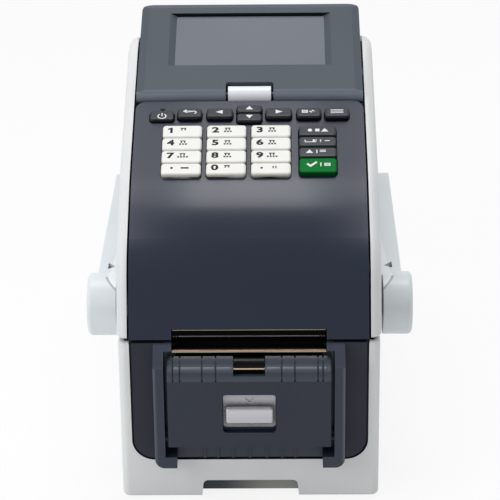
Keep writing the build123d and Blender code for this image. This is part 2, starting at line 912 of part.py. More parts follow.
def gear_face(module, teeth, bore, phase):
    pitch = module * teeth / 2
    base = pitch * math.cos(math.radians(pressure_angle))
    tip = pitch + addendum_share * module
    root = pitch - dedendum_share * module
    half_tooth = (math.pi * module / 2 - backlash) / (2 * pitch)

    def involute(angle):
        return math.tan(angle) - angle

    def spread(radius):
        working = math.acos(min(base / radius, 1))
        return half_tooth + involute(math.radians(pressure_angle)) - involute(working)

    radii = [root, max(base, root), (max(base, root) + tip) / 2, tip]
    spreads = [spread(max(radius, base)) for radius in radii]
    points = []
    for n in range(teeth):
        centre = math.radians(phase) + 2 * math.pi * n / teeth
        rising = [(radius, centre - wide) for radius, wide in zip(radii, spreads)]
        falling = [(radius, centre + wide) for radius, wide in zip(reversed(radii), reversed(spreads))]
        points += [(radius * math.cos(a), radius * math.sin(a)) for radius, a in rising + falling]
    with BuildSketch() as gear:
        with BuildLine():
            Polyline(*points, close=True)
        make_face()
        Circle(bore, mode=Mode.SUBTRACT)
    return gear.sketch


idler_reach = gear_module * (platen_teeth + idler_teeth) / 2
motor_reach = gear_module * (idler_teeth + motor_teeth) / 2
idler_u = platen_u + idler_reach * math.cos(math.radians(idler_angle))
idler_z = platen_z + idler_reach * math.sin(math.radians(idler_angle))
motor_u = idler_u + motor_reach * math.cos(math.radians(motor_angle))
motor_z = idler_z + motor_reach * math.sin(math.radians(motor_angle))
idler_phase = mesh_phase(idler_angle, platen_teeth, idler_angle, idler_teeth)
motor_phase = mesh_phase(idler_phase, idler_teeth, motor_angle, motor_teeth)
gear_inner = gear_x + gear_width
rack_pitch = math.pi * rack_module
rack_teeth = math.ceil(guide_travel / rack_pitch) + 1
rack_radius = rack_module * rack_pinion_teeth / 2
rack_back = rack_radius + dedendum_share * rack_module + rack_body
guide_outer = guide_inner + guide_thick

with BuildPart() as roll_compartment:
    with BuildSketch(side(0)):
        with Locations((media_u, roll_z)):
            Circle(liner_radius)
        add(seam_region(-seam_gap - gap, 0), mode=Mode.INTERSECT)
        with BuildLine():
            Polyline(
                (liner_front, seam_height - seam_gap - gap),
                (seam_back, seam_height - seam_gap - gap),
                (deck_front - gap, deck_height - seam_gap - gap),
                (deck_front - gap, deck_height - seam_gap - gap - flange),
                (seam_back, seam_height - seam_gap - gap - flange),
                (liner_front, seam_height - seam_gap - gap - flange),
                close=True,
            )
        make_face()
    extrude(amount=compartment_half + liner_end, both=True)
    for x in (-cheek_inner - cheek_thick, cheek_inner):
        with BuildSketch(side(x)):
            with Locations((cheek_front, cheek_foot)):
                Rectangle(cheek_rear - cheek_front, seam_height - seam_gap - gap - cheek_foot,
                          align=(Align.MIN, Align.MIN))
            with Locations((platen_u, platen_z)):
                Circle(bearing_radius + fit_play, mode=Mode.SUBTRACT)
        extrude(amount=cheek_thick)
    with BuildSketch(side(0)):
        with Locations((media_u, roll_z)):
            Circle(roll_radius)
    extrude(amount=compartment_half, both=True, mode=Mode.SUBTRACT)
    # axle of the idler gear
    with BuildSketch(side(gear_x)):
        with Locations((idler_u, idler_z)):
            Circle(idler_bore)
    extrude(amount=-cheek_inner - cheek_thick - gear_x)
    with BuildSketch(side(gear_inner + gap)):
        with Locations((idler_u, idler_z)):
            Circle(2 * idler_bore)
    extrude(amount=-cheek_inner - cheek_thick - gear_inner - gap)
    # slots for the feet of the media guides
    with BuildSketch(level(0)):
        for sign in (-1, 1):
            far = guide_outer + gap
            near = guide_inner - guide_travel - gap
            with Locations((sign * (far + near) / 2, media_u + sign * (rack_back - rack_body / 2))):
                Rectangle(far - near, rack_body + 2 * gap)
    extrude(amount=media_floor + 2 * overrun, mode=Mode.SUBTRACT)
write(roll_compartment, "roll_compartment")


# Media guides: discs with a foot that reaches through the floor
def media_guide(sign):
    with BuildPart() as guide:
        with BuildSketch(side(sign * guide_inner)):
            with Locations((media_u, guide_z)):
                Circle(guide_radius)
            with Locations((media_u, roll_z)):
                Circle(roll_radius - guide_floor_gap, mode=Mode.INTERSECT)
        extrude(amount=sign * guide_thick)
        with BuildSketch(side(sign * guide_inner)):
            with Locations((media_u, roll_z - roll_radius + guide_floor_gap + rack_body)):
                Rectangle(guide_foot, 2 * rack_body)
            with Locations((media_u, roll_z)):
                Circle(roll_radius - guide_floor_gap, mode=Mode.INTERSECT)
        extrude(amount=sign * guide_thick)
        with BuildSketch(side(sign * guide_inner)):
            with Locations((media_u + sign * (rack_back - rack_body / 2), rack_floor + rack_thick)):
                Rectangle(rack_body, roll_z - roll_radius - rack_floor + guide_floor_gap,
                          align=(Align.CENTER, Align.MIN))
        extrude(amount=sign * guide_thick)
    return guide


# Racks under the feet of the guides, with a gap between teeth facing the pinion at rest
def guide_rack(sign):
    with BuildPart() as rack:
        root = media_u + sign * (rack_radius + dedendum_share * rack_module)
        tip = media_u + sign * (rack_radius - addendum_share * rack_module)
        lean = math.tan(math.radians(pressure_angle))
        wide = rack_pitch / 4 - backlash / 2 + dedendum_share * rack_module * lean
        narrow = rack_pitch / 4 - backlash / 2 - addendum_share * rack_module * lean
        end = -sign * rack_pitch * rack_lead
        back = media_u + sign * rack_back
        points = [(sign * guide_outer, back), (end, back), (end, root)]
        for n in range(-rack_lead, rack_teeth):
            centre = sign * rack_pitch * (n + 1 / 2)
            if n >= 1 - rack_lead:
                points += [
                    (centre - sign * wide, root),
                    (centre - sign * narrow, tip),
                    (centre + sign * narrow, tip),
                    (centre + sign * wide, root),
                ]
        points += [(sign * guide_outer, root)]
        with BuildSketch(level(rack_floor)):
            with BuildLine():
                Polyline(*points, close=True)
            make_face()
        extrude(amount=rack_thick)
    return rack


media_guide_left = media_guide(-1)
write(media_guide_left, "media_guide_left")
media_guide_right = media_guide(1)
write(media_guide_right, "media_guide_right")
guide_rack_left = guide_rack(-1)
write(guide_rack_left, "guide_rack_left")
guide_rack_right = guide_rack(1)
write(guide_rack_right, "guide_rack_right")

with BuildPart() as guide_pinion:
    with BuildSketch(level(rack_floor)):
        with Locations((0, media_u)):
            add(gear_face(rack_module, rack_pinion_teeth, pin_radius + shaft_play, 90))
    extrude(amount=rack_thick)
write(guide_pinion, "guide_pinion")

# Platen roller, its bearings and its gears
with BuildPart() as platen_shaft:
    with BuildSketch(side(gear_x - pin_head)):
        with Locations((platen_u, platen_z)):
            Circle(shaft_radius)
    extrude(amount=cheek_inner + cheek_thick + 2 * bearing_rim - gear_x + pin_head)
write(platen_shaft, "platen_shaft")

with BuildPart() as platen_rubber:
    with BuildSketch(side(0)):
        with Locations((platen_u, platen_z)):
            Circle(platen_radius)
            Circle(shaft_radius + fit_play, mode=Mode.SUBTRACT)
    extrude(amount=platen_half, both=True)
write(platen_rubber, "platen_rubber")

with BuildPart() as platen_bearings:
    for sign in (-1, 1):
        with BuildSketch(side(sign * cheek_inner)):
            with Locations((platen_u, platen_z)):
                Circle(bearing_radius)
                Circle(shaft_radius + shaft_play, mode=Mode.SUBTRACT)
        extrude(amount=sign * cheek_thick)
        with BuildSketch(side(sign * cheek_inner)):
            with Locations((platen_u, platen_z)):
                Circle(bearing_flange)
                Circle(shaft_radius + shaft_play, mode=Mode.SUBTRACT)
        extrude(amount=-sign * bearing_rim)
write(platen_bearings, "platen_bearings")

with BuildPart() as platen_gear:
    with BuildSketch(side(gear_x)):
        with Locations((platen_u, platen_z)):
            add(gear_face(gear_module, platen_teeth, shaft_radius + fit_play, idler_angle))
    extrude(amount=gear_width)
write(platen_gear, "platen_gear")

with BuildPart() as idler_gear:
    with BuildSketch(side(gear_x)):
        with Locations((idler_u, idler_z)):
            add(gear_face(gear_module, idler_teeth, idler_bore + shaft_play, idler_phase))
    extrude(amount=gear_width)
write(idler_gear, "idler_gear")

motor_face = -cheek_inner + seat_play
with BuildPart() as stepper_motor:
    with BuildSketch(side(motor_face)):
        with Locations((motor_u, motor_z)):
            Rectangle(2 * motor_radius, 2 * motor_radius)
    extrude(amount=motor_flange)
    fillet(stepper_motor.edges().filter_by(Axis.X), motor_radius / 4)
    with BuildSketch(side(motor_face)):
        with Locations((motor_u, motor_z)):
            Circle(motor_radius)
    extrude(amount=motor_length)
    with BuildSketch(side(motor_face)):
        with Locations((motor_u, motor_z)):
            Circle(motor_shaft + shaft_play)
    extrude(amount=motor_length / 2, mode=Mode.SUBTRACT)
write(stepper_motor, "stepper_motor")

with BuildPart() as motor_pinion:
    with BuildSketch(side(gear_x)):
        with Locations((motor_u, motor_z)):
            add(gear_face(gear_module, motor_teeth, motor_shaft, motor_phase))
    extrude(amount=gear_width)
    with BuildSketch(side(gear_x)):
        with Locations((motor_u, motor_z)):
            Circle(motor_shaft)
    extrude(amount=motor_face + motor_length / 2 - gap - gear_x)
write(motor_pinion, "motor_pinion")

# Main board with its sockets in the rear wall
board_u = body_depth - shell - socket_depth
with BuildPart() as main_board:
    with BuildSketch(face(board_u)):
        with Locations((0, (board_bottom + board_top) / 2)):
            Rectangle(2 * board_half, board_top - board_bottom)
    extrude(amount=board_thick)
    with BuildSketch(face(board_u)):
        for x, width, height in sockets:
            with Locations((x, socket_z)):
                Rectangle(width, height)
    extrude(amount=-socket_depth - shell + socket_proud)
    with BuildSketch(face(body_depth - socket_proud)):
        for x, width, height in sockets:
            with Locations((x, socket_z)):
                Rectangle(width - 2 * socket_proud, height - 2 * socket_proud)
    extrude(amount=socket_depth - shell, mode=Mode.SUBTRACT)
write(main_board, "main_board")

with BuildPart() as lid_hinge_pin:
    with BuildSketch(side(0)):
        with Locations((hinge_u, hinge_z)):
            Circle(hinge_pin_radius)
    extrude(amount=half - shell - gap, both=True)
write(lid_hinge_pin, "lid_hinge_pin")


# Lid: a hollow casing with side rails around the dark cover and a barrel for the hinge pin
def inside_line(z, wall):
    # inner side of the leaning front wall
    lean = face_lean / (face_top - lower_lid_line)
    return (z - lower_lid_line) * lean + wall * math.hypot(1, lean)


def below_seam(wall, back, back_z):
    # what opens the underside of a hollow lid part
    low = lower_lid_line - overrun
    high = lower_lid_line + 2 * wall
    with BuildSketch() as region:
        with BuildLine():
            Polyline(
                (inside_line(low, wall), low),
                (inside_line(high, wall), high),
                (seam_back, high),
                (back, back_z + 2 * wall),
                (back, low),
                close=True,
            )
        make_face()
    return region.sketch


def well_line(u):
    return display_height(u) - (display_thick + well_gap) / math.cos(math.radians(display_slope))


lid_back = hinge_u + barrel_radius
ear_clear = barrel_radius + ear_gap
casing_tail = [
    ((crown_u, pad_height(crown_u)), crown_radius),
    ((lid_back, lid_deck_line + rear_height), rear_round),
    ((lid_back, lid_deck_line), 0),
    ((deck_front, lid_deck_line), 0),
    ((seam_back, lower_lid_line), 0),
]
room_half = cover_half + cover_side_gap
with BuildPart() as lid_casing:
    with BuildSketch(side(0)):
        add(lid_face(casing_tail, 0))
    extrude(amount=lid_half, both=True)
    rims = []
    for rim_face in (lid_casing.faces().sort_by(Axis.X)[0], lid_casing.faces().sort_by(Axis.X)[-1]):
        for edge in rim_face.edges():
            place = edge.center()
            line = max(lower_lid_line, lower_lid_line + (place.Y - front - seam_back) * ramp_slope)
            if place.Z > min(line, lid_deck_line) + gap:
                rims.append(edge)
    fillet(rims, top_round)
    low_edges = lid_casing.faces().filter_by(Axis.Z).sort_by(Axis.Z)[0].edges()
    fillet(low_edges.filter_by_position(Axis.Y, front - overrun, front + seam_back - gap), seam_round)
    with BuildSketch(side(0)):
        add(lid_face(casing_tail, 0))
        offset(amount=-panel, kind=Kind.INTERSECTION)
        add(below_seam(panel, deck_front, lid_deck_line))
        with Locations((deck_front - gap, lid_deck_line - overrun)):
            Rectangle(hinge_u - deck_front + gap, overrun + 2 * panel, align=(Align.MIN, Align.MIN))
        with Locations((hinge_u, hinge_z)):
            Circle(barrel_radius, mode=Mode.SUBTRACT)
    extrude(amount=lid_half - panel, both=True, mode=Mode.SUBTRACT)
    with BuildSketch(side(0)):
        with Locations((hinge_u, hinge_z - barrel_radius)):
            Rectangle(barrel_radius, barrel_radius, align=(Align.MIN, Align.MIN))
        with Locations((hinge_u, hinge_z)):
            Circle(barrel_radius, mode=Mode.SUBTRACT)
    extrude(amount=lid_half, both=True, mode=Mode.SUBTRACT)
    # room for the cover and the display
    with BuildSketch(side(0)):
        Rectangle(cover_rear + cover_side_gap / 2, 2 * axis_z, align=(Align.MIN, Align.MIN))
        with BuildLine():
            Polyline(
                (well_front, well_line(well_front)),
                (lid_back, well_line(lid_back)),
                (lid_back, 2 * axis_z),
                (well_front, 2 * axis_z),
                close=True,
            )
        make_face()
    extrude(amount=room_half, both=True, mode=Mode.SUBTRACT)
    # room for the hinge ears, and the bore for the pin
    for x in (-half - overrun, ear_inner - ear_gap):
        with BuildSketch(side(x)):
            with Locations((hinge_u, hinge_z)):
                Circle(ear_clear)
                Rectangle(ear_clear, 2 * hinge_z, align=(Align.MAX, Align.MAX))
            with Locations((hinge_u, hinge_z + barrel_radius + gap)):
                Rectangle(2 * barrel_radius, 2 * hinge_z, align=(Align.MIN, Align.MAX))
        extrude(amount=half + overrun - ear_inner + ear_gap, mode=Mode.SUBTRACT)
    with BuildSketch(side(0)):
        with Locations((hinge_u, hinge_z)):
            Circle(hinge_pin_radius + hinge_play)
    extrude(amount=ear_inner, both=True, mode=Mode.SUBTRACT)
write(lid_casing, "lid_casing")

# Dark cover: label slot, brow, plate with the key openings and the well under the display
cover_tail = [
    ((well_front, pad_height(well_front)), 0),
    ((well_front, well_line(well_front)), 0),
    ((cover_rear, well_line(cover_rear)), 0),
    ((cover_rear, lower_lid_line + (cover_rear - seam_back) * ramp_slope), 0),
    ((seam_back, lower_lid_line), 0),
]
number_places = [number_centre_x + n * number_pitch_x for n in (-1, 0, 1)]
number_far = number_far_s + number_length / 2
number_last_s = number_far_s - (len(number_keys) - 1) * number_pitch_s
number_near = number_last_s + number_length / 2 - number_last_length
side_far = side_far_s + side_length / 2
enter_near = enter_s - enter_length / 2
with BuildPart() as lid_cover:
    with BuildSketch(side(0)):
        add(lid_face(cover_tail, 0))
    extrude(amount=cover_half, both=True)
    fillet(
        lid_cover.edges().filter_by(Axis.Z).filter_by_position(
            Axis.Y, front + well_front - gap, front + well_front + gap
        ),
        cover_corner,
    )
    with BuildSketch(side(0)):
        add(lid_face(cover_tail, 0))
        offset(amount=-cover_wall, kind=Kind.INTERSECTION)
        add(below_seam(cover_wall, cover_rear - cover_wall,
                       lower_lid_line + (cover_rear - cover_wall - seam_back) * ramp_slope))
        with Locations((media_u, roll_z)):
            Circle(liner_radius + gap)
        with Locations((seam_back, 0)):
            Rectangle(lid_back, 2 * hinge_z, align=(Align.MIN, Align.MIN), mode=Mode.SUBTRACT)
        with BuildLine():
            Polyline(
                (seam_back - gap, lower_lid_line),
                (cover_rear - cover_wall, lower_lid_line),
                (cover_rear - cover_wall, well_line(cover_rear - cover_wall) - cover_wall),
                (seam_back - gap, well_line(seam_back - gap) - cover_wall),
                close=True,
            )
        make_face()
    extrude(amount=cover_half - cover_side, both=True, mode=Mode.SUBTRACT)
    with BuildSketch(side(0)):
        with Locations((media_u, roll_z)):
            Circle(liner_radius + gap)
        with Locations((media_u, 0)):
            Rectangle(liner_radius + gap, roll_z + liner_radius + gap, align=(Align.MIN, Align.MIN),
                      mode=Mode.INTERSECT)
    extrude(amount=cover_half - cover_side, both=True, mode=Mode.SUBTRACT)
    # label slot
    with BuildSketch(face(-overrun)):
        with Locations((0, lower_lid_line - overrun)):
            Rectangle(2 * slot_half, slot_top - lower_lid_line + overrun, align=(Align.CENTER, Align.MIN))
    extrude(amount=-2 * overrun - cover_wall, mode=Mode.SUBTRACT)
    # openings for the keys and the indicator
    with BuildSketch(slope(overrun)) as openings:
        for x in number_places:
            with Locations((x, (number_far + number_near) / 2)):
                Rectangle(number_width + 2 * key_gap, number_far - number_near + 2 * key_gap)
        with Locations((side_x, (side_far + enter_near) / 2)):
            Rectangle(side_width + 2 * key_gap, side_far - enter_near + 2 * key_gap)
        with Locations((0, up_down_s)):
            Rectangle(up_down_width + 2 * key_gap, up_down_pitch + up_down_length + 2 * key_gap)
        for x, s, width, height in function_keys.values():
            with Locations((x, s)):
                Rectangle(width + 2 * key_gap, function_length + 2 * key_gap)
        fillet(openings.vertices(), pad_corner)
        with Locations((power_x, indicator_s)):
            Circle(indicator_radius + fit_play)
        with Locations((power_x, indicator_s + fit_play)):
            Rectangle(2 * overrun, overrun, align=(Align.CENTER, Align.MIN), mode=Mode.SUBTRACT)
    extrude(amount=-overrun - key_depth_below, mode=Mode.SUBTRACT)
write(lid_cover, "lid_cover")


# Keys: caps with tabs that hold them under the plate
def key_cap(name, x, s, width, length, height, corner):
    with BuildPart() as key:
        with BuildSketch(slope(-key_depth_below)) as cap:
            with Locations((x, s)):
                Rectangle(width, length)
            fillet(cap.vertices(), corner)
        extrude(amount=key_depth_below + height)
        top = key.faces().sort_by(Axis(slope(0).origin, slope(0).z_dir))[-1]
        fillet(top.edges(), key_round)
        with BuildSketch(slope(-key_depth_below)):
            with Locations((x, s)):
                Rectangle(width + 2 * key_tab, length / 2)
        extrude(amount=key_tab)
    write(key, name)


for row, names in enumerate(number_keys):
    for x, name in zip(number_places, names):
        length = number_last_length if row == len(number_keys) - 1 else number_length
        s = number_far_s - row * number_pitch_s + (number_length - length) / 2
        key_cap(name, x, s, number_width, length, number_height, key_corner)
for row, name in enumerate(side_keys):
    s = side_far_s - row * side_pitch
    key_cap(name, side_x, s, side_width, side_length, side_height, key_corner)
key_cap("key_ok", side_x, enter_s, side_width, enter_length, side_height, key_corner)
for name, (x, s, width, height) in function_keys.items():
    key_cap(name, x, s, width, function_length, height, key_corner)
for name, sign in (("key_up", 1), ("key_down", -1)):
    s = up_down_s + sign * up_down_pitch / 2
    key_cap(name, 0, s, up_down_width, up_down_length, side_height, key_corner)

board_h = -key_depth_below - key_travel - key_board_gap
with BuildPart() as keypad_board:
    with BuildSketch(slope(board_h)):
        with Locations((0, (board_near_s + board_far_s) / 2)):
            Rectangle(2 * (cover_half - cover_side - gap), board_far_s - board_near_s)
    extrude(amount=-board_thick)
write(keypad_board, "keypad_board")

with BuildPart() as indicator_lens:
    with BuildSketch(slope(indicator_proud)):
        with Locations((power_x, indicator_s)):
            Circle(indicator_radius)
            Rectangle(2 * overrun, overrun, align=(Align.CENTER, Align.MIN), mode=Mode.SUBTRACT)
    extrude(amount=board_h - indicator_proud)
write(indicator_lens, "indicator_lens")

# Frame inside the lid: the upper half of the roll liner, a shelf and a lip for the print head
with BuildPart() as lid_inner:
    with BuildSketch(side(0)):
        with Locations((media_u, roll_z)):
            Circle(liner_radius)
            Circle(roll_radius, mode=Mode.SUBTRACT)
        add(seam_region(seam_gap + gap, 2 * axis_z), mode=Mode.INTERSECT)
        with Locations((lip_front, shelf_z)):
            Rectangle(media_u - roll_radius - lip_front, shelf_thick, align=(Align.MIN, Align.MIN))
        with Locations((lip_front, lip_z)):
            Rectangle(lip_thick, shelf_z + shelf_thick - lip_z, align=(Align.MIN, Align.MIN))
    extrude(amount=cover_half - cover_side - gap, both=True)
write(lid_inner, "lid_inner")

with BuildPart() as print_head:
    with BuildSketch(level(head_z)):
        with Locations((0, (head_front + head_back) / 2)):
            Rectangle(2 * head_half, head_back - head_front)
    extrude(amount=head_thick)
    fin_pitch = (head_back - head_front - 2 * fin_thick) / (fin_count - 1)
    with BuildSketch(level(head_z + head_thick)):
        for n in range(fin_count):
            with Locations((0, head_front + fin_thick + n * fin_pitch)):
                Rectangle(2 * (spring_x - 2 * spring_radius), fin_thick)
    extrude(amount=fin_height)
    # springs that press the head on the platen, seated in its top
    spring_low = head_z + head_thick
    spring_rise = shelf_z - spring_low - spring_wire
    for x in (-spring_x, spring_x):
        with BuildLine():
            coil = Helix(
                pitch=spring_rise / spring_turns,
                height=spring_rise,
                radius=spring_radius,
                center=(x, front + spring_u, spring_low),
            )
        with BuildSketch(Plane(origin=coil @ 0, z_dir=coil % 0)):
            Circle(spring_wire)
        sweep(path=coil)
write(print_head, "print_head")

# Tear bar with a toothed edge, under the lip
with BuildPart() as tear_bar:
    blade_half = slot_half - blade_end_gap
    tooth_pitch = 2 * blade_half / blade_teeth
    with BuildSketch(face(blade_u)):
        with Locations((0, blade_tip + blade_tooth)):
            Rectangle(2 * blade_half, lip_z - blade_tip - blade_tooth, align=(Align.CENTER, Align.MIN))
        points = [(-blade_half, blade_tip + 2 * blade_tooth), (-blade_half, blade_tip + blade_tooth)]
        for n in range(blade_teeth):
            points += [
                (-blade_half + (n + 1 / 2) * tooth_pitch, blade_tip),
                (-blade_half + (n + 1) * tooth_pitch, blade_tip + blade_tooth),
            ]
        points += [(blade_half, blade_tip + 2 * blade_tooth)]
        with BuildLine():
            Polyline(*points, close=True)
        make_face()
    extrude(amount=-blade_thick)
    with BuildSketch(level(lip_z - blade_thick)):
        with Locations((0, blade_u)):
            Rectangle(2 * blade_half, blade_back - blade_u, align=(Align.CENTER, Align.MIN))
    extrude(amount=blade_thick)
write(tear_bar, "tear_bar")


# Tilting display: profiles run along its slope from the tilt axis
def tilt_side(x):
    a = math.radians(display_slope)
    origin = (x, front + axis_u, axis_z)
    return Plane(origin=origin, x_dir=(0, math.cos(a), math.sin(a)), z_dir=(1, 0, 0))


def tilt_face(s):
    a = math.radians(display_slope)
    origin = (0, front + axis_u + s * math.cos(a), axis_z + s * math.sin(a))
    return Plane(origin=origin, x_dir=(1, 0, 0), z_dir=(0, -math.cos(a), -math.sin(a)))


nose = display_thick / 2
display_length = screen_s(display_rear_u)
window_start = screen_s(window_near)
window_end = screen_s(window_far)
with BuildPart() as display_housing:
    with BuildSketch(tilt_side(0)):
        Circle(nose)
        with BuildLine():
            Polyline(
                (0, -nose),
                (0, nose),
                (display_length - display_bevel, nose),
                (display_length, nose - display_bevel_drop),
                (display_length, -nose),
                close=True,
            )
        make_face()
    extrude(amount=cover_half, both=True)
    rear = display_housing.faces().sort_by(Axis((0, 0, 0), tilt_face(0).z_dir))[0]
    upright = Axis((0, 0, 0), screen(0).z_dir)
    fillet(rear.edges().filter_by(upright), display_corner)
    with BuildSketch(tilt_face(-nose)):
        for sign in (-1, 1):
            with BuildLine():
                Polyline(
                    (sign * (cover_half - display_side_bevel), nose),
                    (sign * (cover_half - display_side_bevel), nose + overrun),
                    (sign * (cover_half + overrun), nose + overrun),
                    (sign * (cover_half + overrun), nose - display_side_drop),
                    (sign * cover_half, nose - display_side_drop),
                    close=True,
                )
            make_face()
    extrude(amount=-display_length - nose, mode=Mode.SUBTRACT)
    with BuildSketch(tilt_face(window_start)):
        with BuildLine():
            Polyline(
                (-window_half, nose - window_depth),
                (window_half, nose - window_depth),
                (window_half, nose - window_depth + window_glass),
                (window_half + window_slope, nose),
                (window_half + window_slope, nose + overrun),
                (-window_half - window_slope, nose + overrun),
                (-window_half - window_slope, nose),
                (-window_half, nose - window_depth + window_glass),
                close=True,
            )
        make_face()
    extrude(amount=window_start - window_end, mode=Mode.SUBTRACT)
    # notch for the knuckle and bores for its pins
    with BuildSketch(screen(overrun)) as notch:
        with Locations((0, knuckle_radius + knuckle_gap)):
            Rectangle(knuckle_width + 2 * knuckle_gap, 2 * knuckle_radius + overrun,
                      align=(Align.CENTER, Align.MAX))
        fillet(notch.vertices().group_by(Axis.Y)[-1], knuckle_round)
    extrude(amount=-display_thick - 2 * overrun, mode=Mode.SUBTRACT)
    with BuildSketch(tilt_side(0)):
        Circle(knuckle_pin + knuckle_play)
    extrude(amount=knuckle_width / 2 + knuckle_reach + gap, both=True, mode=Mode.SUBTRACT)
write(display_housing, "display_housing")

with BuildPart() as display_window:
    with BuildSketch(screen(-window_depth)):
        with Locations((0, (window_start + window_end) / 2)):
            Rectangle(2 * window_half - 2 * fit_play, window_end - window_start - 2 * fit_play)
    extrude(amount=window_glass)
write(display_window, "display_window")

with BuildPart() as display_knuckle:
    with BuildSketch(tilt_side(0)):
        Circle(knuckle_radius)
        Rectangle(knuckle_foot, nose + well_gap, align=(Align.CENTER, Align.MAX))
    extrude(amount=knuckle_width / 2, both=True)
    with BuildSketch(tilt_side(0)):
        Circle(knuckle_pin)
    extrude(amount=knuckle_width / 2 + knuckle_reach, both=True)
write(display_knuckle, "display_knuckle")


# Release levers: a round grip on a broad arm that turns on a pin in the casing
def release_lever(sign):
    with BuildPart() as lever:
        with BuildSketch(side(sign * (half + arm_gap))) as arm:
            with BuildLine():
                Polyline(
                    (grip_u, arm_bottom_front),
                    (grip_u, arm_top_front),
                    (lever_rear, lever_z + boss_radius),
                    (lever_rear, lever_z - boss_radius),
                    close=True,
                )
            make_face()
            fillet(arm.vertices().group_by(Axis.X)[-1], lever_round)
        extrude(amount=sign * arm_thick)
        with BuildSketch(side(sign * (half + grip_gap))):
            with Locations((grip_u, grip_z)):
                Circle(grip_radius)
        extrude(amount=sign * grip_width)
        rims = lever.edges().filter_by(GeomType.CIRCLE).sort_by(Axis.X)
        fillet(rims[0 if sign < 0 else -1], grip_round)
        # pocket behind the grip
        with BuildSketch(level(arm_top_front + overrun)):
            with BuildLine():
                Polyline(
                    (sign * (half + pocket_inner), grip_u + pocket_middle),
                    (sign * (half + pocket_outer), grip_u + pocket_start),
                    (sign * (half + pocket_outer), grip_u + pocket_end),
                    close=True,
                )
            make_face()
        extrude(amount=-pocket_depth - overrun, mode=Mode.SUBTRACT)
        # hub and pin
        with BuildSketch(side(sign * (half + boss_gap))):
            with Locations((lever_u, lever_z)):
                Circle(boss_radius)
        extrude(amount=sign * (arm_gap - boss_gap))
        with BuildSketch(side(sign * (half + boss_gap))):
            with Locations((lever_u, lever_z)):
                Circle(lever_pin)
        extrude(amount=-sign * (shell + lever_reach + boss_gap))
    return lever


release_lever_left = release_lever(-1)
write(release_lever_left, "release_lever_left")
release_lever_right = release_lever(1)
write(release_lever_right, "release_lever_right")
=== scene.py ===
import math

import bmesh
import bpy
from mathutils import Matrix, Vector


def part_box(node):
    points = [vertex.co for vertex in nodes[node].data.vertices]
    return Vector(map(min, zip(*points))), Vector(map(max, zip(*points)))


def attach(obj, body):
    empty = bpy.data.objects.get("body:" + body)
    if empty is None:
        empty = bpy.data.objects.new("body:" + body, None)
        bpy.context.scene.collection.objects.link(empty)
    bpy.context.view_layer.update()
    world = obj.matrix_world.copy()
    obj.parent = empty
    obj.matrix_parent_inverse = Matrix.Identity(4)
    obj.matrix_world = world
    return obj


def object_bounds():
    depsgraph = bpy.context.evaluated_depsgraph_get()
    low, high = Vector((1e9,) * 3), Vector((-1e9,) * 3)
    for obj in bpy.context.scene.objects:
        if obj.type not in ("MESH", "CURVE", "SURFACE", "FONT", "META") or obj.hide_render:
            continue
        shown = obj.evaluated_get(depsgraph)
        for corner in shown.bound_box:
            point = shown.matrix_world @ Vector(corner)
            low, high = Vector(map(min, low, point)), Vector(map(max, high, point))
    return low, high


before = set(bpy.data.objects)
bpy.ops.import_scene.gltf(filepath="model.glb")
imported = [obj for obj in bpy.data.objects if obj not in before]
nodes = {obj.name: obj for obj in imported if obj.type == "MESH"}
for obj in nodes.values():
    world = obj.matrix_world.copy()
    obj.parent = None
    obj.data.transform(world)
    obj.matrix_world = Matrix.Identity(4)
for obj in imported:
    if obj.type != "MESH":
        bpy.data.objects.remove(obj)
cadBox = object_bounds()
mm = 0.001
latchReach = 9.6     # how far the latch's bar stands before the casing's front face, in millimetres
frontY = cadBox[0][1] + latchReach * mm
print("frame loaded, front face at", round(frontY, 4))


def spot(x, u, z):
    # a place given as X, depth behind the front face and height, in millimetres
    return Vector((x * mm, frontY + u * mm, z * mm))


def addObject(name, data):
    made = bpy.data.objects.new(name, data)
    bpy.context.scene.collection.objects.link(made)
    return made


# materials

class Value:
    # a socket that takes part in sums
    def __init__(self, maker, socket):
        self.maker = maker
        self.socket = socket

    def mathWith(self, operation, *values):
        return self.maker.node("ShaderNodeMath", {"operation": operation}, dict(enumerate(values)))[0]

    def __add__(self, other):
        return self.mathWith("ADD", self, other)

    def __radd__(self, other):
        return self.mathWith("ADD", other, self)

    def __sub__(self, other):
        return self.mathWith("SUBTRACT", self, other)

    def __rsub__(self, other):
        return self.mathWith("SUBTRACT", other, self)

    def __mul__(self, other):
        return self.mathWith("MULTIPLY", self, other)

    def __rmul__(self, other):
        return self.mathWith("MULTIPLY", other, self)

    def size(self):
        return self.mathWith("ABSOLUTE", self)

    def between(self, low, high):
        # 0 below low, 1 above high, smooth in between
        settings = {"interpolation_type": "SMOOTHSTEP"}
        return self.maker.node("ShaderNodeMapRange", settings, {0: self, 1: low, 2: high})[0]

    def betweenMm(self, low, high):
        # the same for a length, with both ends in millimetres
        return self.between(low * mm, high * mm)


class Outputs:
    # a node's outputs, each as a value
    def __init__(self, maker, made):
        self.maker = maker
        self.made = made

    def __getitem__(self, key):
        return Value(self.maker, self.made.outputs[key])


class NodeMaker:
    # lays the nodes of one tree
    def __init__(self, tree):
        self.tree = tree
        self.tree.nodes.clear()

    def node(self, kind, settings=None, values=None):
        made = self.tree.nodes.new(kind)
        for key, setting in (settings or {}).items():
            setattr(made, key, setting)
        for key, value in (values or {}).items():
            if isinstance(value, Value):
                self.tree.links.new(value.socket, made.inputs[key])
            else:
                made.inputs[key].default_value = value
        return Outputs(self, made)

    def mixShaders(self, factor, first, second):
        return self.node("ShaderNodeMixShader", None, {0: factor, 1: first, 2: second})["Shader"]


noiseRough = 0.55     # weight of the finer layers in every noise


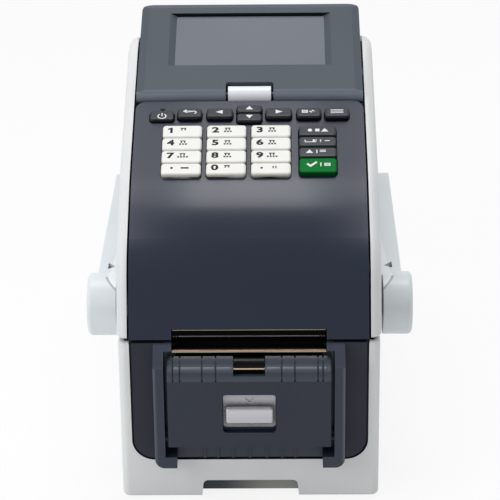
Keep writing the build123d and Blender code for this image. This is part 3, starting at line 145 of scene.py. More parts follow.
class Finish(NodeMaker):
    # one material while its nodes are laid
    def __init__(self, name):
        self.name = name
        self.material = bpy.data.materials.new(name)
        self.material.use_nodes = True
        super().__init__(self.material.node_tree)
        self.place = self.node("ShaderNodeTexCoord")["Object"]

    def noise(self, scale, detail, stretch=None):
        place = self.place
        if stretch:
            place = self.node("ShaderNodeMapping", None, {"Vector": place, "Scale": stretch})[0]
        return self.node("ShaderNodeTexNoise", None,
                         {"Vector": place, "Scale": scale, "Detail": detail, "Roughness": noiseRough})[0]

    def axis(self, name):
        return self.node("ShaderNodeSeparateXYZ", None, {0: self.place})[name]

    def outward(self):
        # distance from the middle plane, to either side
        return self.axis("X").size()

    def behindFront(self):
        # depth behind the casing's front face
        return self.axis("Y") - frontY

    def height(self, origin, direction):
        # distance from a plane, in metres
        away = self.node("ShaderNodeVectorMath", {"operation": "SUBTRACT"}, {0: self.place, 1: origin})[0]
        return self.node("ShaderNodeVectorMath", {"operation": "DOT_PRODUCT"}, {0: away, 1: direction})["Value"]

    def blend(self, factor, first, second):
        return self.node("ShaderNodeMix", {"data_type": "RGBA"}, {0: factor, 6: first, 7: second})[2]

    def bump(self, height, depth, normal=None):
        values = {"Height": height, "Distance": depth, "Strength": 1.0}
        if normal:
            values["Normal"] = normal
        return self.node("ShaderNodeBump", None, values)["Normal"]

    def close(self, values):
        shader = self.node("ShaderNodeBsdfPrincipled", None, values)
        self.node("ShaderNodeOutputMaterial", None, {"Surface": shader["BSDF"]})
        return self.material


def shade(red, green, blue):
    # a colour as read off, as the shader takes it
    def straight(level):
        level = level / 255
        return level / 12.92 if level < 0.04045 else ((level + 0.055) / 1.055) ** 2.4
    return (straight(red), straight(green), straight(blue), 1.0)


def dim(colour, share):
    return (colour[0] * share, colour[1] * share, colour[2] * share, 1.0)


def vary(level, pattern, amount):
    # a level moved up and down by a pattern, whose middle is 0.5
    return level + (pattern - 0.5) * amount


# In the dictionaries of looks, a pattern is given as its scale and detail, with how it is stretched where that
# counts, and a span is where something begins and where it is full.

# moulded plastic: fine spark texture, faint flow marks, handling shine
mould = {"flowDetail": 4.0, "flowSpan": (0.3, 0.7), "grainDetail": 2.0, "grainSpan": (0.62, 0.8),
         "grainShare": 0.35, "grainRough": 0.06, "grainRelief": 0.7, "speckTimes": 0.35, "speckDetail": 1.0,
         "speckRelief": 0.3, "handledTimes": 2.3, "handledDetail": 5.0, "handledStretch": (1.0, 0.6, 1.4)}


def mouldedPlastic(name, look, paint=None, bow=None):
    finish = Finish(name)
    flow = finish.noise(look["flowScale"], mould["flowDetail"])
    grain = finish.noise(look["grainScale"], mould["grainDetail"])
    handled = finish.noise(look["flowScale"] * mould["handledTimes"], mould["handledDetail"],
                           mould["handledStretch"])
    speck = finish.noise(look["grainScale"] * mould["speckTimes"], mould["speckDetail"])
    colour = finish.blend(flow.between(*mould["flowSpan"]), look["colour"], dim(look["colour"], look["dull"]))
    colour = finish.blend(grain.between(*mould["grainSpan"]) * mould["grainShare"], colour,
                          dim(look["colour"], look["dull"] ** 2))
    rough = vary(vary(look["rough"], handled, look["roughVary"]), grain, mould["grainRough"])
    if paint:
        colour = paint(finish, colour)
    relief = grain * mould["grainRelief"] + speck * mould["speckRelief"]
    swell = finish.bump(bow(finish), 1.0) if bow else None     # a bow's height is already in metres
    return finish.close({"Base Color": colour, "Roughness": rough,
                         "Normal": finish.bump(relief, look["depth"], swell),
                         "Specular IOR Level": look["shine"]})


lightPlastic = {"colour": shade(226, 228, 229), "dull": 0.965, "rough": 0.44, "roughVary": 0.1,
                "flowScale": 14.0, "grainScale": 2400.0, "depth": 0.000012, "shine": 0.45}
plastics = {
    "lightCasing": lightPlastic,
    "housingLight": lightPlastic,
    "leverGrey": {"colour": shade(225, 231, 234), "dull": 0.97, "rough": 0.4, "roughVary": 0.12,
                  "flowScale": 22.0, "grainScale": 2200.0, "depth": 0.000012, "shine": 0.45},
    "darkCover": {"colour": shade(37, 45, 64), "dull": 0.93, "rough": 0.38, "roughVary": 0.06,
                  "flowScale": 16.0, "grainScale": 1700.0, "depth": 0.000035, "shine": 0.5},
    "displayShell": {"colour": shade(52, 63, 76), "dull": 0.92, "rough": 0.48, "roughVary": 0.08,
                     "flowScale": 18.0, "grainScale": 2200.0, "depth": 0.000016, "shine": 0.5},
    "bezelDark": {"colour": shade(34, 40, 54), "dull": 0.88, "rough": 0.42, "roughVary": 0.1,
                  "flowScale": 26.0, "grainScale": 2000.0, "depth": 0.00002, "shine": 0.3},
    "railDark": {"colour": shade(56, 63, 80), "dull": 0.88, "rough": 0.38, "roughVary": 0.1,
                 "flowScale": 26.0, "grainScale": 2000.0, "depth": 0.00002, "shine": 0.4},
    "doorDark": {"colour": shade(37, 44, 60), "dull": 0.9, "rough": 0.34, "roughVary": 0.1,
                 "flowScale": 30.0, "grainScale": 2600.0, "depth": 0.000008, "shine": 0.35},
    # the bead's plastic, coloured far lighter than the door's as a painted highlight
    "beadPaintedHighlight": {"colour": shade(112, 118, 128), "dull": 0.92, "rough": 0.4, "roughVary": 0.08,
                 "flowScale": 60.0, "grainScale": 2600.0, "depth": 0.000005, "shine": 0.5},
    # dark plastic inside, coloured nearly black, partly as painted shade for the slot's interior
    "innerDark": {"colour": shade(16, 17, 19), "dull": 0.85, "rough": 0.6, "roughVary": 0.1,
                  "flowScale": 20.0, "grainScale": 1800.0, "depth": 0.00002, "shine": 0.1},
    "floorPlate": {"colour": shade(96, 98, 102), "dull": 0.9, "rough": 0.5, "roughVary": 0.1,
                   "flowScale": 20.0, "grainScale": 1800.0, "depth": 0.00002, "shine": 0.35},
    "guideBlue": {"colour": shade(84, 96, 112), "dull": 0.92, "rough": 0.42, "roughVary": 0.1,
                  "flowScale": 26.0, "grainScale": 2200.0, "depth": 0.00001, "shine": 0.45},
    "gearWhite": {"colour": shade(226, 223, 212), "dull": 0.95, "rough": 0.38, "roughVary": 0.08,
                  "flowScale": 60.0, "grainScale": 2600.0, "depth": 0.000006, "shine": 0.5},
    "knuckleLight": {"colour": shade(240, 243, 248), "dull": 0.96, "rough": 0.36, "roughVary": 0.08,
                     "flowScale": 60.0, "grainScale": 2400.0, "depth": 0.000008, "shine": 0.5},
    "keyDark": {"colour": shade(24, 33, 40), "dull": 0.92, "rough": 0.32, "roughVary": 0.1,
                "flowScale": 90.0, "grainScale": 3000.0, "depth": 0.000006, "shine": 0.36},
    "keyGreen": {"colour": shade(0, 128, 50), "dull": 0.92, "rough": 0.3, "roughVary": 0.08,
                 "flowScale": 90.0, "grainScale": 3000.0, "depth": 0.000006, "shine": 0.05},
}

# cover: the slope in front of the keys rounds over towards the front face and towards both sides
brow = {"slopeSpan": (9.5, 37.0), "fall": 5.3, "padSpan": (37.0, 55.5), "lift": 1.2,
        "sideSpan": (18.0, 62.0), "sideFall": 5.4}


def browBow(finish):
    depth = finish.behindFront()
    onSlope = depth.betweenMm(*brow["slopeSpan"])
    fall = onSlope * (brow["fall"] * mm)
    lift = depth.betweenMm(*brow["padSpan"]) * (brow["lift"] * mm)
    side = finish.outward().betweenMm(*brow["sideSpan"]) * (brow["sideFall"] * mm)
    return fall - lift - side * onSlope


# black rubber feet under a grey floor plate, whose front lip shows in the apron's notch; the lip is painted
# dark on the left and pale on the right, as painted shade and light
plate = {"footTop": 1.95, "footEdge": 0.02, "footBlack": shade(26, 26, 28), "lipDeep": 9.0, "lipEdge": 1.0,
         "lipSpan": (-15.0, 10.0), "lipLeft": shade(52, 56, 64), "lipRight": shade(150, 152, 146)}


def platePaint(finish, colour):
    lip = finish.blend(finish.axis("X").betweenMm(*plate["lipSpan"]), plate["lipLeft"], plate["lipRight"])
    atFront = 1 - finish.behindFront().betweenMm(plate["lipDeep"], plate["lipDeep"] + plate["lipEdge"])
    foot = 1 - finish.axis("Z").betweenMm(plate["footTop"], plate["footTop"] + plate["footEdge"])
    return finish.blend(foot, finish.blend(atFront, colour, lip), plate["footBlack"])


# painted shade: the casing's edge round the bezel, in the dark of the gap, is painted nearly black
bezelGap = {"half": 50.4, "low": 18.4, "edge": 0.05, "deep": 0.15, "deepEdge": 0.1, "dark": shade(10, 10, 12)}


def gapShadePaint(finish, colour):
    inside = 1 - finish.outward().betweenMm(bezelGap["half"], bezelGap["half"] + bezelGap["edge"])
    above = finish.axis("Z").betweenMm(bezelGap["low"] - bezelGap["edge"], bezelGap["low"])
    behind = finish.behindFront().betweenMm(bezelGap["deep"], bezelGap["deep"] + bezelGap["deepEdge"])
    return finish.blend(inside * above * behind, colour, bezelGap["dark"])


# display: painted light makes the shell paler round its nose, and painted shade makes the wall behind the
# window's rear edge near black
screen = {"slope": math.radians(16), "u": 101.6, "z": 146.29, "windowEnd": 59.05, "wallSpan": (0.05, 0.12),
          "topSpan": (3.35, 3.42), "dark": shade(6, 6, 8), "noseSpan": (-2.7, -0.3),
          "nose": shade(112, 122, 136)}


def alongDisplay(finish):
    # distance behind the display's tilt axis, towards its rear edge
    a = screen["slope"]
    return finish.height(spot(0, screen["u"], screen["z"]), Vector((0, math.cos(a), math.sin(a))))


def screenPaint(finish, colour):
    a = screen["slope"]
    along = alongDisplay(finish)
    up = finish.height(spot(0, screen["u"], screen["z"]), Vector((0, -math.sin(a), math.cos(a))))
    wallShade = 1 - (along - screen["windowEnd"] * mm).size().betweenMm(*screen["wallSpan"])
    below = 1 - up.betweenMm(*screen["topSpan"])
    colour = finish.blend(along.betweenMm(*screen["noseSpan"]), screen["nose"], colour)
    return finish.blend(wallShade * below, colour, screen["dark"])


# levers: a facet rises from the grip's inner side; it is painted lighter as painted light, and the fine crease
# along it is painted darker as painted shade
crease = {"outer": 61.8, "outerHeight": 86.0, "inner": 57.8, "innerHeight": 83.2, "wide": 0.45, "back": 41.0,
          "backEdge": 0.5, "riseSpan": (0.0, 0.3), "dark": shade(176, 184, 188), "light": shade(240, 243, 245)}


def creaseLightPaint(finish, colour):
    run, fall = crease["outer"] - crease["inner"], crease["outerHeight"] - crease["innerHeight"]
    outward = finish.outward() - crease["inner"] * mm
    up = finish.axis("Z") - crease["innerHeight"] * mm
    away = (up * run - outward * fall) * (1 / math.hypot(run, fall))
    before = 1 - finish.behindFront().betweenMm(crease["back"] - crease["backEdge"], crease["back"])
    colour = finish.blend(away.betweenMm(*crease["riseSpan"]), colour, crease["light"])
    line = 1 - away.size().betweenMm(crease["wide"] / 2, crease["wide"])
    return finish.blend(line * before, colour, crease["dark"])


keyPlate = {"slope": math.radians(19.4), "u": 67.3, "z": 134.8}


def keyPlane(x, s, h):
    # a point on the slope with the keys: s up the slope, h above it
    a = keyPlate["slope"]
    return spot(x, keyPlate["u"] + s * math.cos(a) - h * math.sin(a),
                keyPlate["z"] + s * math.sin(a) + h * math.cos(a))


def keyHeight(finish):
    up = Vector((0, -math.sin(keyPlate["slope"]), math.cos(keyPlate["slope"])))
    return finish.height(keyPlane(0, 0, 0), up)


# caps: painted shade makes the walls of the dark keys nearly black under their tops, and those of the green key
# a deeper green
keyWallShade = {"keyDark": {"span": (1.15, 1.58), "colour": shade(12, 13, 15)},
            "keyGreen": {"span": (1.5, 2.2), "colour": shade(0, 62, 28)}}


def wallShadePaint(finish, colour):
    walls = keyWallShade[finish.name]
    return finish.blend(keyHeight(finish).betweenMm(*walls["span"]), walls["colour"], colour)


# the door's band above its flat front is painted lighter as painted light, most of all beside the bead as a
# painted highlight, and painted darker at the rear as painted shade
doorBand = {"span": (59.9, 60.3), "colour": shade(64, 70, 82), "bead": 65.4, "glowSpan": (0.3, 1.9),
            "glow": shade(90, 96, 106), "rearSpan": (67.4, 69.4), "rear": shade(38, 42, 50)}


def bandLightPaint(finish, colour):
    up = finish.axis("Z")
    nearBeadHighlight = 1 - (up - doorBand["bead"] * mm).size().betweenMm(*doorBand["glowSpan"])
    colour = finish.blend(up.betweenMm(*doorBand["span"]), colour, doorBand["colour"])
    colour = finish.blend(nearBeadHighlight, colour, doorBand["glow"])
    return finish.blend(up.betweenMm(*doorBand["rearSpan"]), colour, doorBand["rear"])


# rails: rounded; below the shoulder they are painted lighter along the outer side as a painted highlight, and
# darker where the door passes as painted shade
rail = {"outerSpan": (38.6, 40.2), "top": 66.5, "topEdge": 0.4, "light": shade(84, 92, 106),
        "flat": shade(42, 50, 66)}


def railLightPaint(finish, colour):
    low = 1 - finish.axis("Z").betweenMm(rail["top"] - rail["topEdge"], rail["top"])
    face = finish.blend(finish.outward().betweenMm(*rail["outerSpan"]), rail["flat"], rail["light"])
    return finish.blend(low, colour, face)


# the knuckle's axle shows on both sides of its barrel
knuckle = {"axleSpan": (9.52, 9.56), "axle": shade(52, 54, 60)}


def axlePaint(finish, colour):
    return finish.blend(finish.outward().betweenMm(*knuckle["axleSpan"]), colour, knuckle["axle"])


paints = {"housingLight": gapShadePaint, "floorPlate": platePaint, "leverGrey": creaseLightPaint, "railDark": railLightPaint,
          "doorDark": bandLightPaint, "displayShell": screenPaint, "knuckleLight": axlePaint,
          "keyDark": wallShadePaint, "keyGreen": wallShadePaint}
bows = {"darkCover": browBow}
finishes = {name: mouldedPlastic(name, look, paints.get(name), bows.get(name))
            for name, look in plastics.items()}


# number keys: off-white tops; painted shade makes the walls warmer and darker towards the plate and black at
# their foot
def keyWhite():
    look = {"top": shade(236, 236, 232), "side": shade(196, 186, 168), "foot": shade(24, 24, 26),
            "topSpan": (0.9, 1.75), "footSpan": (0.15, 0.4), "flow": (70.0, 4.0), "flowSpan": (0.35, 0.75),
            "flowShare": 0.5, "dull": 0.95, "rough": 0.36, "roughVary": 0.12, "shine": 0.5,
            "grain": (2800.0, 2.0), "depth": 0.000005}
    finish = Finish("keyWhite")
    rise = keyHeight(finish)
    flow = finish.noise(*look["flow"])
    colour = finish.blend(rise.betweenMm(*look["topSpan"]), look["side"], look["top"])
    colour = finish.blend(rise.betweenMm(*look["footSpan"]), look["foot"], colour)
    colour = finish.blend(flow.between(*look["flowSpan"]) * look["flowShare"], colour,
                          dim(look["top"], look["dull"]))
    return finish.close({"Base Color": colour, "Roughness": vary(look["rough"], flow, look["roughVary"]),
                         "Specular IOR Level": look["shine"],
                         "Normal": finish.bump(finish.noise(*look["grain"]), look["depth"])})


finishes["keyWhite"] = keyWhite()


# latch: silver paint with fine flake. The bar is painted brighter than the tile as painted light, both are
# painted darker towards their lower edge as painted shade, and the bar's shadow on the tile just above it is
# painted too.
def silverPaint():
    look = {"barFront": 7.1, "frontEdge": 0.3, "bar": shade(204, 204, 208), "barLow": shade(188, 188, 192),
            "barSpan": (42.0, 48.0), "tile": shade(166, 166, 171), "tileLow": shade(92, 92, 97),
            "tileSpan": (36.0, 42.0), "shadow": shade(74, 74, 79), "shadowSpan": (47.6, 51.6),
            "flake": (5200.0, 1.0), "flakeSpan": (0.4, 0.7), "flakeShare": 0.25,
            "flakeColour": shade(236, 236, 240), "depth": 0.000003, "cloud": (160.0, 3.0), "metal": 0.3,
            "rough": 0.3, "roughVary": 0.08}
    finish = Finish("silverPaint")
    up = finish.axis("Z")
    flake = finish.noise(*look["flake"])
    proud = 1 - finish.behindFront().betweenMm(-(look["barFront"] + look["frontEdge"]), -look["barFront"])
    onTile = up.betweenMm(*look["tileSpan"])
    shadow = onTile * (1 - up.betweenMm(*look["shadowSpan"]))
    tile = finish.blend(shadow, finish.blend(onTile, look["tileLow"], look["tile"]), look["shadow"])
    grip = finish.blend(up.betweenMm(*look["barSpan"]), look["barLow"], look["bar"])
    colour = finish.blend(proud, tile, grip)
    colour = finish.blend(flake.between(*look["flakeSpan"]) * look["flakeShare"], colour, look["flakeColour"])
    rough = vary(look["rough"], finish.noise(*look["cloud"]), look["roughVary"])
    return finish.close({"Base Color": colour, "Metallic": look["metal"], "Roughness": rough,
                         "Normal": finish.bump(flake, look["depth"])})


finishes["silverPaint"] = silverPaint()


# drawn or turned metal, with fine lines along one direction and faint stains
metalLines = {"lines": (900.0, 3.0), "roughVary": 0.16, "depth": 0.000006, "shallow": 0.000004,
              "stain": (60.0, 4.0), "stainSpan": (0.4, 0.8), "dull": 0.86}
metals = {
    "steelX": {"colour": shade(196, 197, 200), "stretch": (0.04, 1.0, 1.0), "rough": 0.28, "metal": 1.0},
    "steelTurned": {"colour": shade(190, 190, 192), "stretch": (1.0, 0.2, 0.2), "rough": 0.3, "metal": 1.0},
    # the rod's pale warm metal is partly a painted highlight along it
    "warmRod": {"colour": shade(236, 216, 184), "stretch": (0.04, 1.0, 1.0), "rough": 0.3, "metal": 0.5},
    "zinc": {"colour": shade(172, 175, 178), "stretch": (1.0, 1.0, 0.2), "rough": 0.36, "metal": 1.0},
    "darkSteel": {"colour": shade(70, 70, 73), "stretch": (1.0, 0.2, 0.2), "rough": 0.36, "metal": 1.0},
    "bronze": {"colour": shade(176, 132, 82), "stretch": (1.0, 1.0, 1.0), "rough": 0.44, "metal": 1.0},
    "headMetal": {"colour": shade(188, 190, 192), "stretch": (0.05, 1.0, 1.0), "rough": 0.4, "metal": 1.0},
}


def linedMetal(finish, colour, look, depth, shine=0.5):
    lines = finish.noise(*metalLines["lines"], look["stretch"])
    return finish.close({"Base Color": colour, "Metallic": look["metal"],
                         "Roughness": vary(look["rough"], lines, metalLines["roughVary"]),
                         "Specular IOR Level": shine, "Normal": finish.bump(lines, depth)})


def stainedMetal(name, look):
    finish = Finish(name)
    stain = finish.noise(*metalLines["stain"])
    tint = finish.blend(stain.between(*metalLines["stainSpan"]), look["colour"],
                        dim(look["colour"], metalLines["dull"]))
    return linedMetal(finish, tint, look, metalLines["depth"])


finishes.update({name: stainedMetal(name, look) for name, look in metals.items()})


# warm strip along the slot's lower lip, painted dark further in as painted shade
def warmStrip():
    look = {"warm": shade(196, 172, 146), "dark": shade(20, 19, 18), "darkSpan": (0.1, 0.6),
            "stretch": (0.04, 1.0, 1.0), "rough": 0.34, "metal": 0.7}
    finish = Finish("warmStrip")
    inner = finish.behindFront().betweenMm(*look["darkSpan"])
    return linedMetal(finish, finish.blend(inner, look["warm"], look["dark"]), look, metalLines["shallow"])


finishes["warmStrip"] = warmStrip()


# blade painted near black, and paler along its teeth and its top edge as painted highlights
def blade():
    look = {"teethSpan": (76.75, 76.95), "topSpan": (79.35, 79.45), "bare": shade(100, 98, 92),
            "edge": shade(168, 160, 144), "black": shade(3, 3, 4), "stretch": (0.04, 1.0, 1.0),
            "rough": 0.42, "metal": 0.2, "shine": 0.04}
    finish = Finish("blade")
    up = finish.axis("Z")
    colour = finish.blend(up.betweenMm(*look["teethSpan"]), look["bare"], look["black"])
    colour = finish.blend(up.betweenMm(*look["topSpan"]), colour, look["edge"])
    return linedMetal(finish, colour, look, metalLines["shallow"], look["shine"])


finishes["blade"] = blade()


# rubber: dull, with ground lines round the roller and a little dust
rubberLook = {"ground": (1500.0, 3.0, (1.0, 0.15, 0.15)), "depth": 0.00002, "dust": (90.0, 5.0),
              "dustSpan": (0.55, 0.85), "dustShare": 0.6, "dusty": 1.9, "roughVary": 0.14}
# the platen's black rubber is coloured darker still, partly as painted shade in the slot
rubbers = {"platenBlack": {"colour": shade(10, 10, 11), "rough": 0.7, "shine": 0.08},
           "rollerBlack": {"colour": shade(8, 8, 9), "rough": 0.35, "shine": 0.2}}


def rubber(name, look):
    finish = Finish(name)
    dust = finish.noise(*rubberLook["dust"])
    tint = finish.blend(dust.between(*rubberLook["dustSpan"]) * rubberLook["dustShare"], look["colour"],
                        dim(look["colour"], rubberLook["dusty"]))
    ground = finish.bump(finish.noise(*rubberLook["ground"]), rubberLook["depth"])
    return finish.close({"Base Color": tint, "Roughness": vary(look["rough"], dust, rubberLook["roughVary"]),
                         "Normal": ground, "Specular IOR Level": look["shine"]})


finishes.update({name: rubber(name, look) for name, look in rubbers.items()})


# circuit board: green resist over faint traces; steel shells on the sockets, the power inlet's black
def boardGreen():
    look = {"tracks": shade(22, 84, 50), "resist": shade(14, 60, 38), "trackScale": 260.0,
            "trackSpan": (0.3, 0.42), "depth": 0.00003, "shellSpan": (201.0, 201.1),
            "inletSpan": (-24.5, -24.0), "inlet": shade(18, 18, 20), "steel": shade(168, 170, 174),
            "steelMetal": 0.8, "weave": (1200.0, 2.0), "rough": 0.34, "roughVary": 0.1}
    finish = Finish("boardGreen")
    shells = finish.behindFront().betweenMm(*look["shellSpan"])
    bright = finish.axis("X").betweenMm(*look["inletSpan"])
    cells = finish.node("ShaderNodeTexVoronoi", {"feature": "F1", "distance": "CHEBYCHEV"},
                        {"Vector": finish.place, "Scale": look["trackScale"]})
    tracks = cells["Distance"].between(*look["trackSpan"])
    colour = finish.blend(tracks, look["tracks"], look["resist"])
    colour = finish.blend(shells, colour, finish.blend(bright, look["inlet"], look["steel"]))
    return finish.close({"Base Color": colour, "Metallic": shells * bright * look["steelMetal"],
                         "Roughness": vary(look["rough"], finish.noise(*look["weave"]), look["roughVary"]),
                         "Normal": finish.bump(tracks * (1 - shells), look["depth"])})


finishes["boardGreen"] = boardGreen()


# unlit grey display behind a clear pane, in the shade of the wall at its rear edge
def displayPane():
    look = {"clear": shade(101, 107, 118), "hazy": shade(96, 102, 113), "haze": (12.0, 3.0),
            "hazeSpan": (0.3, 0.7), "shadeSpan": (57.95, 58.35), "smear": (120.0, 5.0, (1.0, 0.5, 1.0)),
            "depth": 0.000002, "rough": 0.16, "roughVary": 0.1, "coat": 0.3, "shine": 0.5}
    finish = Finish("displayPane")
    smear = finish.noise(*look["smear"])
    haze = finish.noise(*look["haze"]).between(*look["hazeSpan"])
    colour = finish.blend(alongDisplay(finish).betweenMm(*look["shadeSpan"]),
                          finish.blend(haze, look["clear"], look["hazy"]), screen["dark"])
    return finish.close({"Base Color": colour, "Roughness": vary(look["rough"], smear, look["roughVary"]),
                         "Coat Weight": look["coat"], "Specular IOR Level": look["shine"],
                         "Normal": finish.bump(smear, look["depth"])})


finishes["displayPane"] = displayPane()


# printed or inlaid marks, slightly uneven
printLook = {"ink": (1800.0, 3.0), "inkSpan": (0.4, 0.75), "dull": 0.86, "roughVary": 0.1, "shine": 0.2}
prints = {"inkBlack": {"colour": shade(5, 5, 7), "rough": 0.5},
          "inkWhite": {"colour": shade(236, 238, 240), "rough": 0.5},
          "lensDark": {"colour": shade(16, 17, 19), "rough": 0.18}}


def plainPrint(name, look):
    finish = Finish(name)
    ink = finish.noise(*printLook["ink"])
    tint = finish.blend(ink.between(*printLook["inkSpan"]), look["colour"],
                        dim(look["colour"], printLook["dull"]))
    return finish.close({"Base Color": tint, "Roughness": vary(look["rough"], ink, printLook["roughVary"]),
                         "Specular IOR Level": printLook["shine"]})


finishes.update({name: plainPrint(name, look) for name, look in prints.items()})

nodeFinish = {
    "lightCasing": ["lid_casing"],
    "housingLight": ["bottom_housing"],
    "leverGrey": ["release_lever_left", "release_lever_right"],
    "darkCover": ["lid_cover"],
    "displayShell": ["display_housing"],
    "displayPane": ["display_window"],
    "knuckleLight": ["display_knuckle"],
    "bezelDark": ["front_bezel"],
    "railDark": ["peeler_frame"],
    "doorDark": ["peeler_door"],
    "silverPaint": ["peeler_latch"],
    "rollerBlack": ["peeler_roller"],
    "warmStrip": ["peel_bar"],
    "blade": ["tear_bar"],
    "steelX": ["lid_hinge_pin"],
    "darkSteel": ["platen_shaft"],
    "steelTurned": ["motor_pinion"],
    "zinc": ["case_screws", "stepper_motor"],
    "bronze": ["platen_bearings"],
    "headMetal": ["print_head"],
    "platenBlack": ["platen_rubber"],
    "gearWhite": ["platen_gear", "idler_gear", "guide_pinion"],
    "guideBlue": ["media_guide_left", "media_guide_right", "guide_rack_left", "guide_rack_right"],
    "innerDark": ["roll_compartment", "lid_inner"],
    "floorPlate": ["base_plate"],
    "boardGreen": ["keypad_board", "main_board"],
    "lensDark": ["indicator_lens"],
    "keyWhite": ["key_1", "key_2", "key_3", "key_4", "key_5", "key_6", "key_7", "key_8", "key_9",
                 "key_symbol", "key_0", "key_point"],
    "keyDark": ["key_power", "key_back", "key_left", "key_right", "key_up", "key_down", "key_feed",
                "key_menu", "key_mode", "key_space", "key_case"],
    "keyGreen": ["key_ok"],
}
for finishName, members in nodeFinish.items():
    for member in members:
        mesh = nodes[member].data
        mesh.materials.clear()
        mesh.materials.append(finishes[finishName])
print("materials on", sum(len(members) for members in nodeFinish.values()), "nodes")


# marks on the keys, in millimetres: right and up from the middle of a cap's top, numbers from its left edge
keyMarks = {"numbers": "1234567890", "numberSize": 4.7, "numberWiden": 1.3, "numberBold": 0.04,
            "fromLeft": 4.3, "numberUp": 0.35, "smallRight": 0.5, "smallUp": 0.5, "symbolUp": 0.3,
            "markThick": 0.06, "proud": 0.04, "curveSteps": 6, "arcSteps": 28,
            "one": [(-0.45, -1.75), (0.6, -1.75), (0.6, 1.75), (-0.2, 1.75), (-1.45, 1.05), (-1.45, 0.3),
                    (-0.45, 0.75)]}


def keyTop(name):
    # middle of a cap's top, as X and s on the slope with the keys, and its height above the slope
    low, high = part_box(name)
    a = keyPlate["slope"]
    places = [vertex.co - keyPlane(0, 0, 0) for vertex in nodes[name].data.vertices]
    along = [place.y * math.cos(a) + place.z * math.sin(a) for place in places]
    up = [place.z * math.cos(a) - place.y * math.sin(a) for place in places]
    return (low.x + high.x) / 2 / mm, (min(along) + max(along)) / 2 / mm, max(up) / mm


def placeOnKey(piece, key, x, s, finish):
    # a flat piece drawn in millimetres on XY is laid on the key's top
    middleX, middleS, topH = keyTop(key)
    where = keyPlane(middleX + x, middleS + s, topH + keyMarks["proud"] - keyMarks["markThick"] / 2)
    turned = Matrix.Rotation(keyPlate["slope"], 4, "X") @ Matrix.Scale(mm, 4)
    piece.data.transform(Matrix.Translation(where) @ turned)
    piece.data.materials.clear()
    piece.data.materials.append(finish)
    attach(piece, "cap_" + key[4:])


def meshFrom(curveObject, name):
    # a text or curve made a mesh
    bpy.context.view_layer.update()
    graph = bpy.context.evaluated_depsgraph_get()
    mesh = bpy.data.meshes.new_from_object(curveObject.evaluated_get(graph))
    bpy.data.objects.remove(curveObject)
    return addObject(name, mesh)


def digitPiece(name, digit):
    curve = bpy.data.curves.new(name + "Text", "FONT")
    curve.body = digit
    curve.size = keyMarks["numberSize"]
    curve.offset = keyMarks["numberBold"] * keyMarks["numberSize"]
    curve.extrude = keyMarks["markThick"] / 2
    curve.align_x = "CENTER"
    curve.align_y = "CENTER"
    curve.resolution_u = keyMarks["curveSteps"]
    piece = meshFrom(addObject(name + "Text", curve), name)
    piece.data.transform(Matrix.Diagonal((keyMarks["numberWiden"], 1, 1, 1)))
    return piece


def outlinePiece(name, shapes):
    # a flat mark from closed outlines, a little thick
    curve = bpy.data.curves.new(name + "Curve", "CURVE")
    curve.dimensions = "2D"
    curve.fill_mode = "BOTH"
    curve.extrude = keyMarks["markThick"] / 2
    for shape in shapes:
        spline = curve.splines.new("POLY")
        spline.points.add(len(shape) - 1)
        for point, (x, y) in zip(spline.points, shape):
            point.co = (x, y, 0, 1)
        spline.use_cyclic_u = True
    return meshFrom(addObject(name + "Curve", curve), name)


def bar(x, y, width, height):
    return [(x - width / 2, y - height / 2), (x + width / 2, y - height / 2),
            (x + width / 2, y + height / 2), (x - width / 2, y + height / 2)]


def arc(x, y, radius, start, end):
    # points along an arc, in degrees
    steps = keyMarks["arcSteps"]
    turns = [math.radians(start + (end - start) * n / steps) for n in range(steps + 1)]
    return [(x + radius * math.cos(a), y + radius * math.sin(a)) for a in turns]


def disc(x, y, radius):
    return arc(x, y, radius, 0, 360)[:-1]


def openRing(x, y, radius, thick, start, end):
    return arc(x, y, radius, start, end) + arc(x, y, radius - thick, start, end)[::-1]


def moved(shapes, right, up=0.0, widen=1.0):
    return [[(x * widen + right, y + up) for x, y in shape] for shape in shapes]


for digit in keyMarks["numbers"]:
    key = "key_" + digit
    low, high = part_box(key)
    number = outlinePiece("mark_1", [keyMarks["one"]]) if digit == "1" else digitPiece("mark_" + digit, digit)
    width = (high.x - low.x) / mm
    placeOnKey(number, key, -width / 2 + keyMarks["fromLeft"], keyMarks["numberUp"], finishes["inkBlack"])

# small generic marks beside a number: a short bar and two blocks over a row of dots
beside = {"blocks": [(-0.1, 1.15, 2.5, 0.5), (-0.75, 0.3, 0.55, 1.0), (0.65, 0.35, 0.6, 0.9)],
          "dots": {"1": 0, "2": 3, "3": 3, "4": 3, "5": 3, "6": 3, "7": 4, "8": 3, "9": 4, "0": 0},
          "dotStep": 1.25, "dotUp": -0.95, "dotSize": 0.85}


def besideNumber(count):
    size = beside["dotSize"]
    dots = [bar((n - (count - 1) / 2) * beside["dotStep"], beside["dotUp"], size, size) for n in range(count)]
    return [bar(*block) for block in beside["blocks"]] + dots


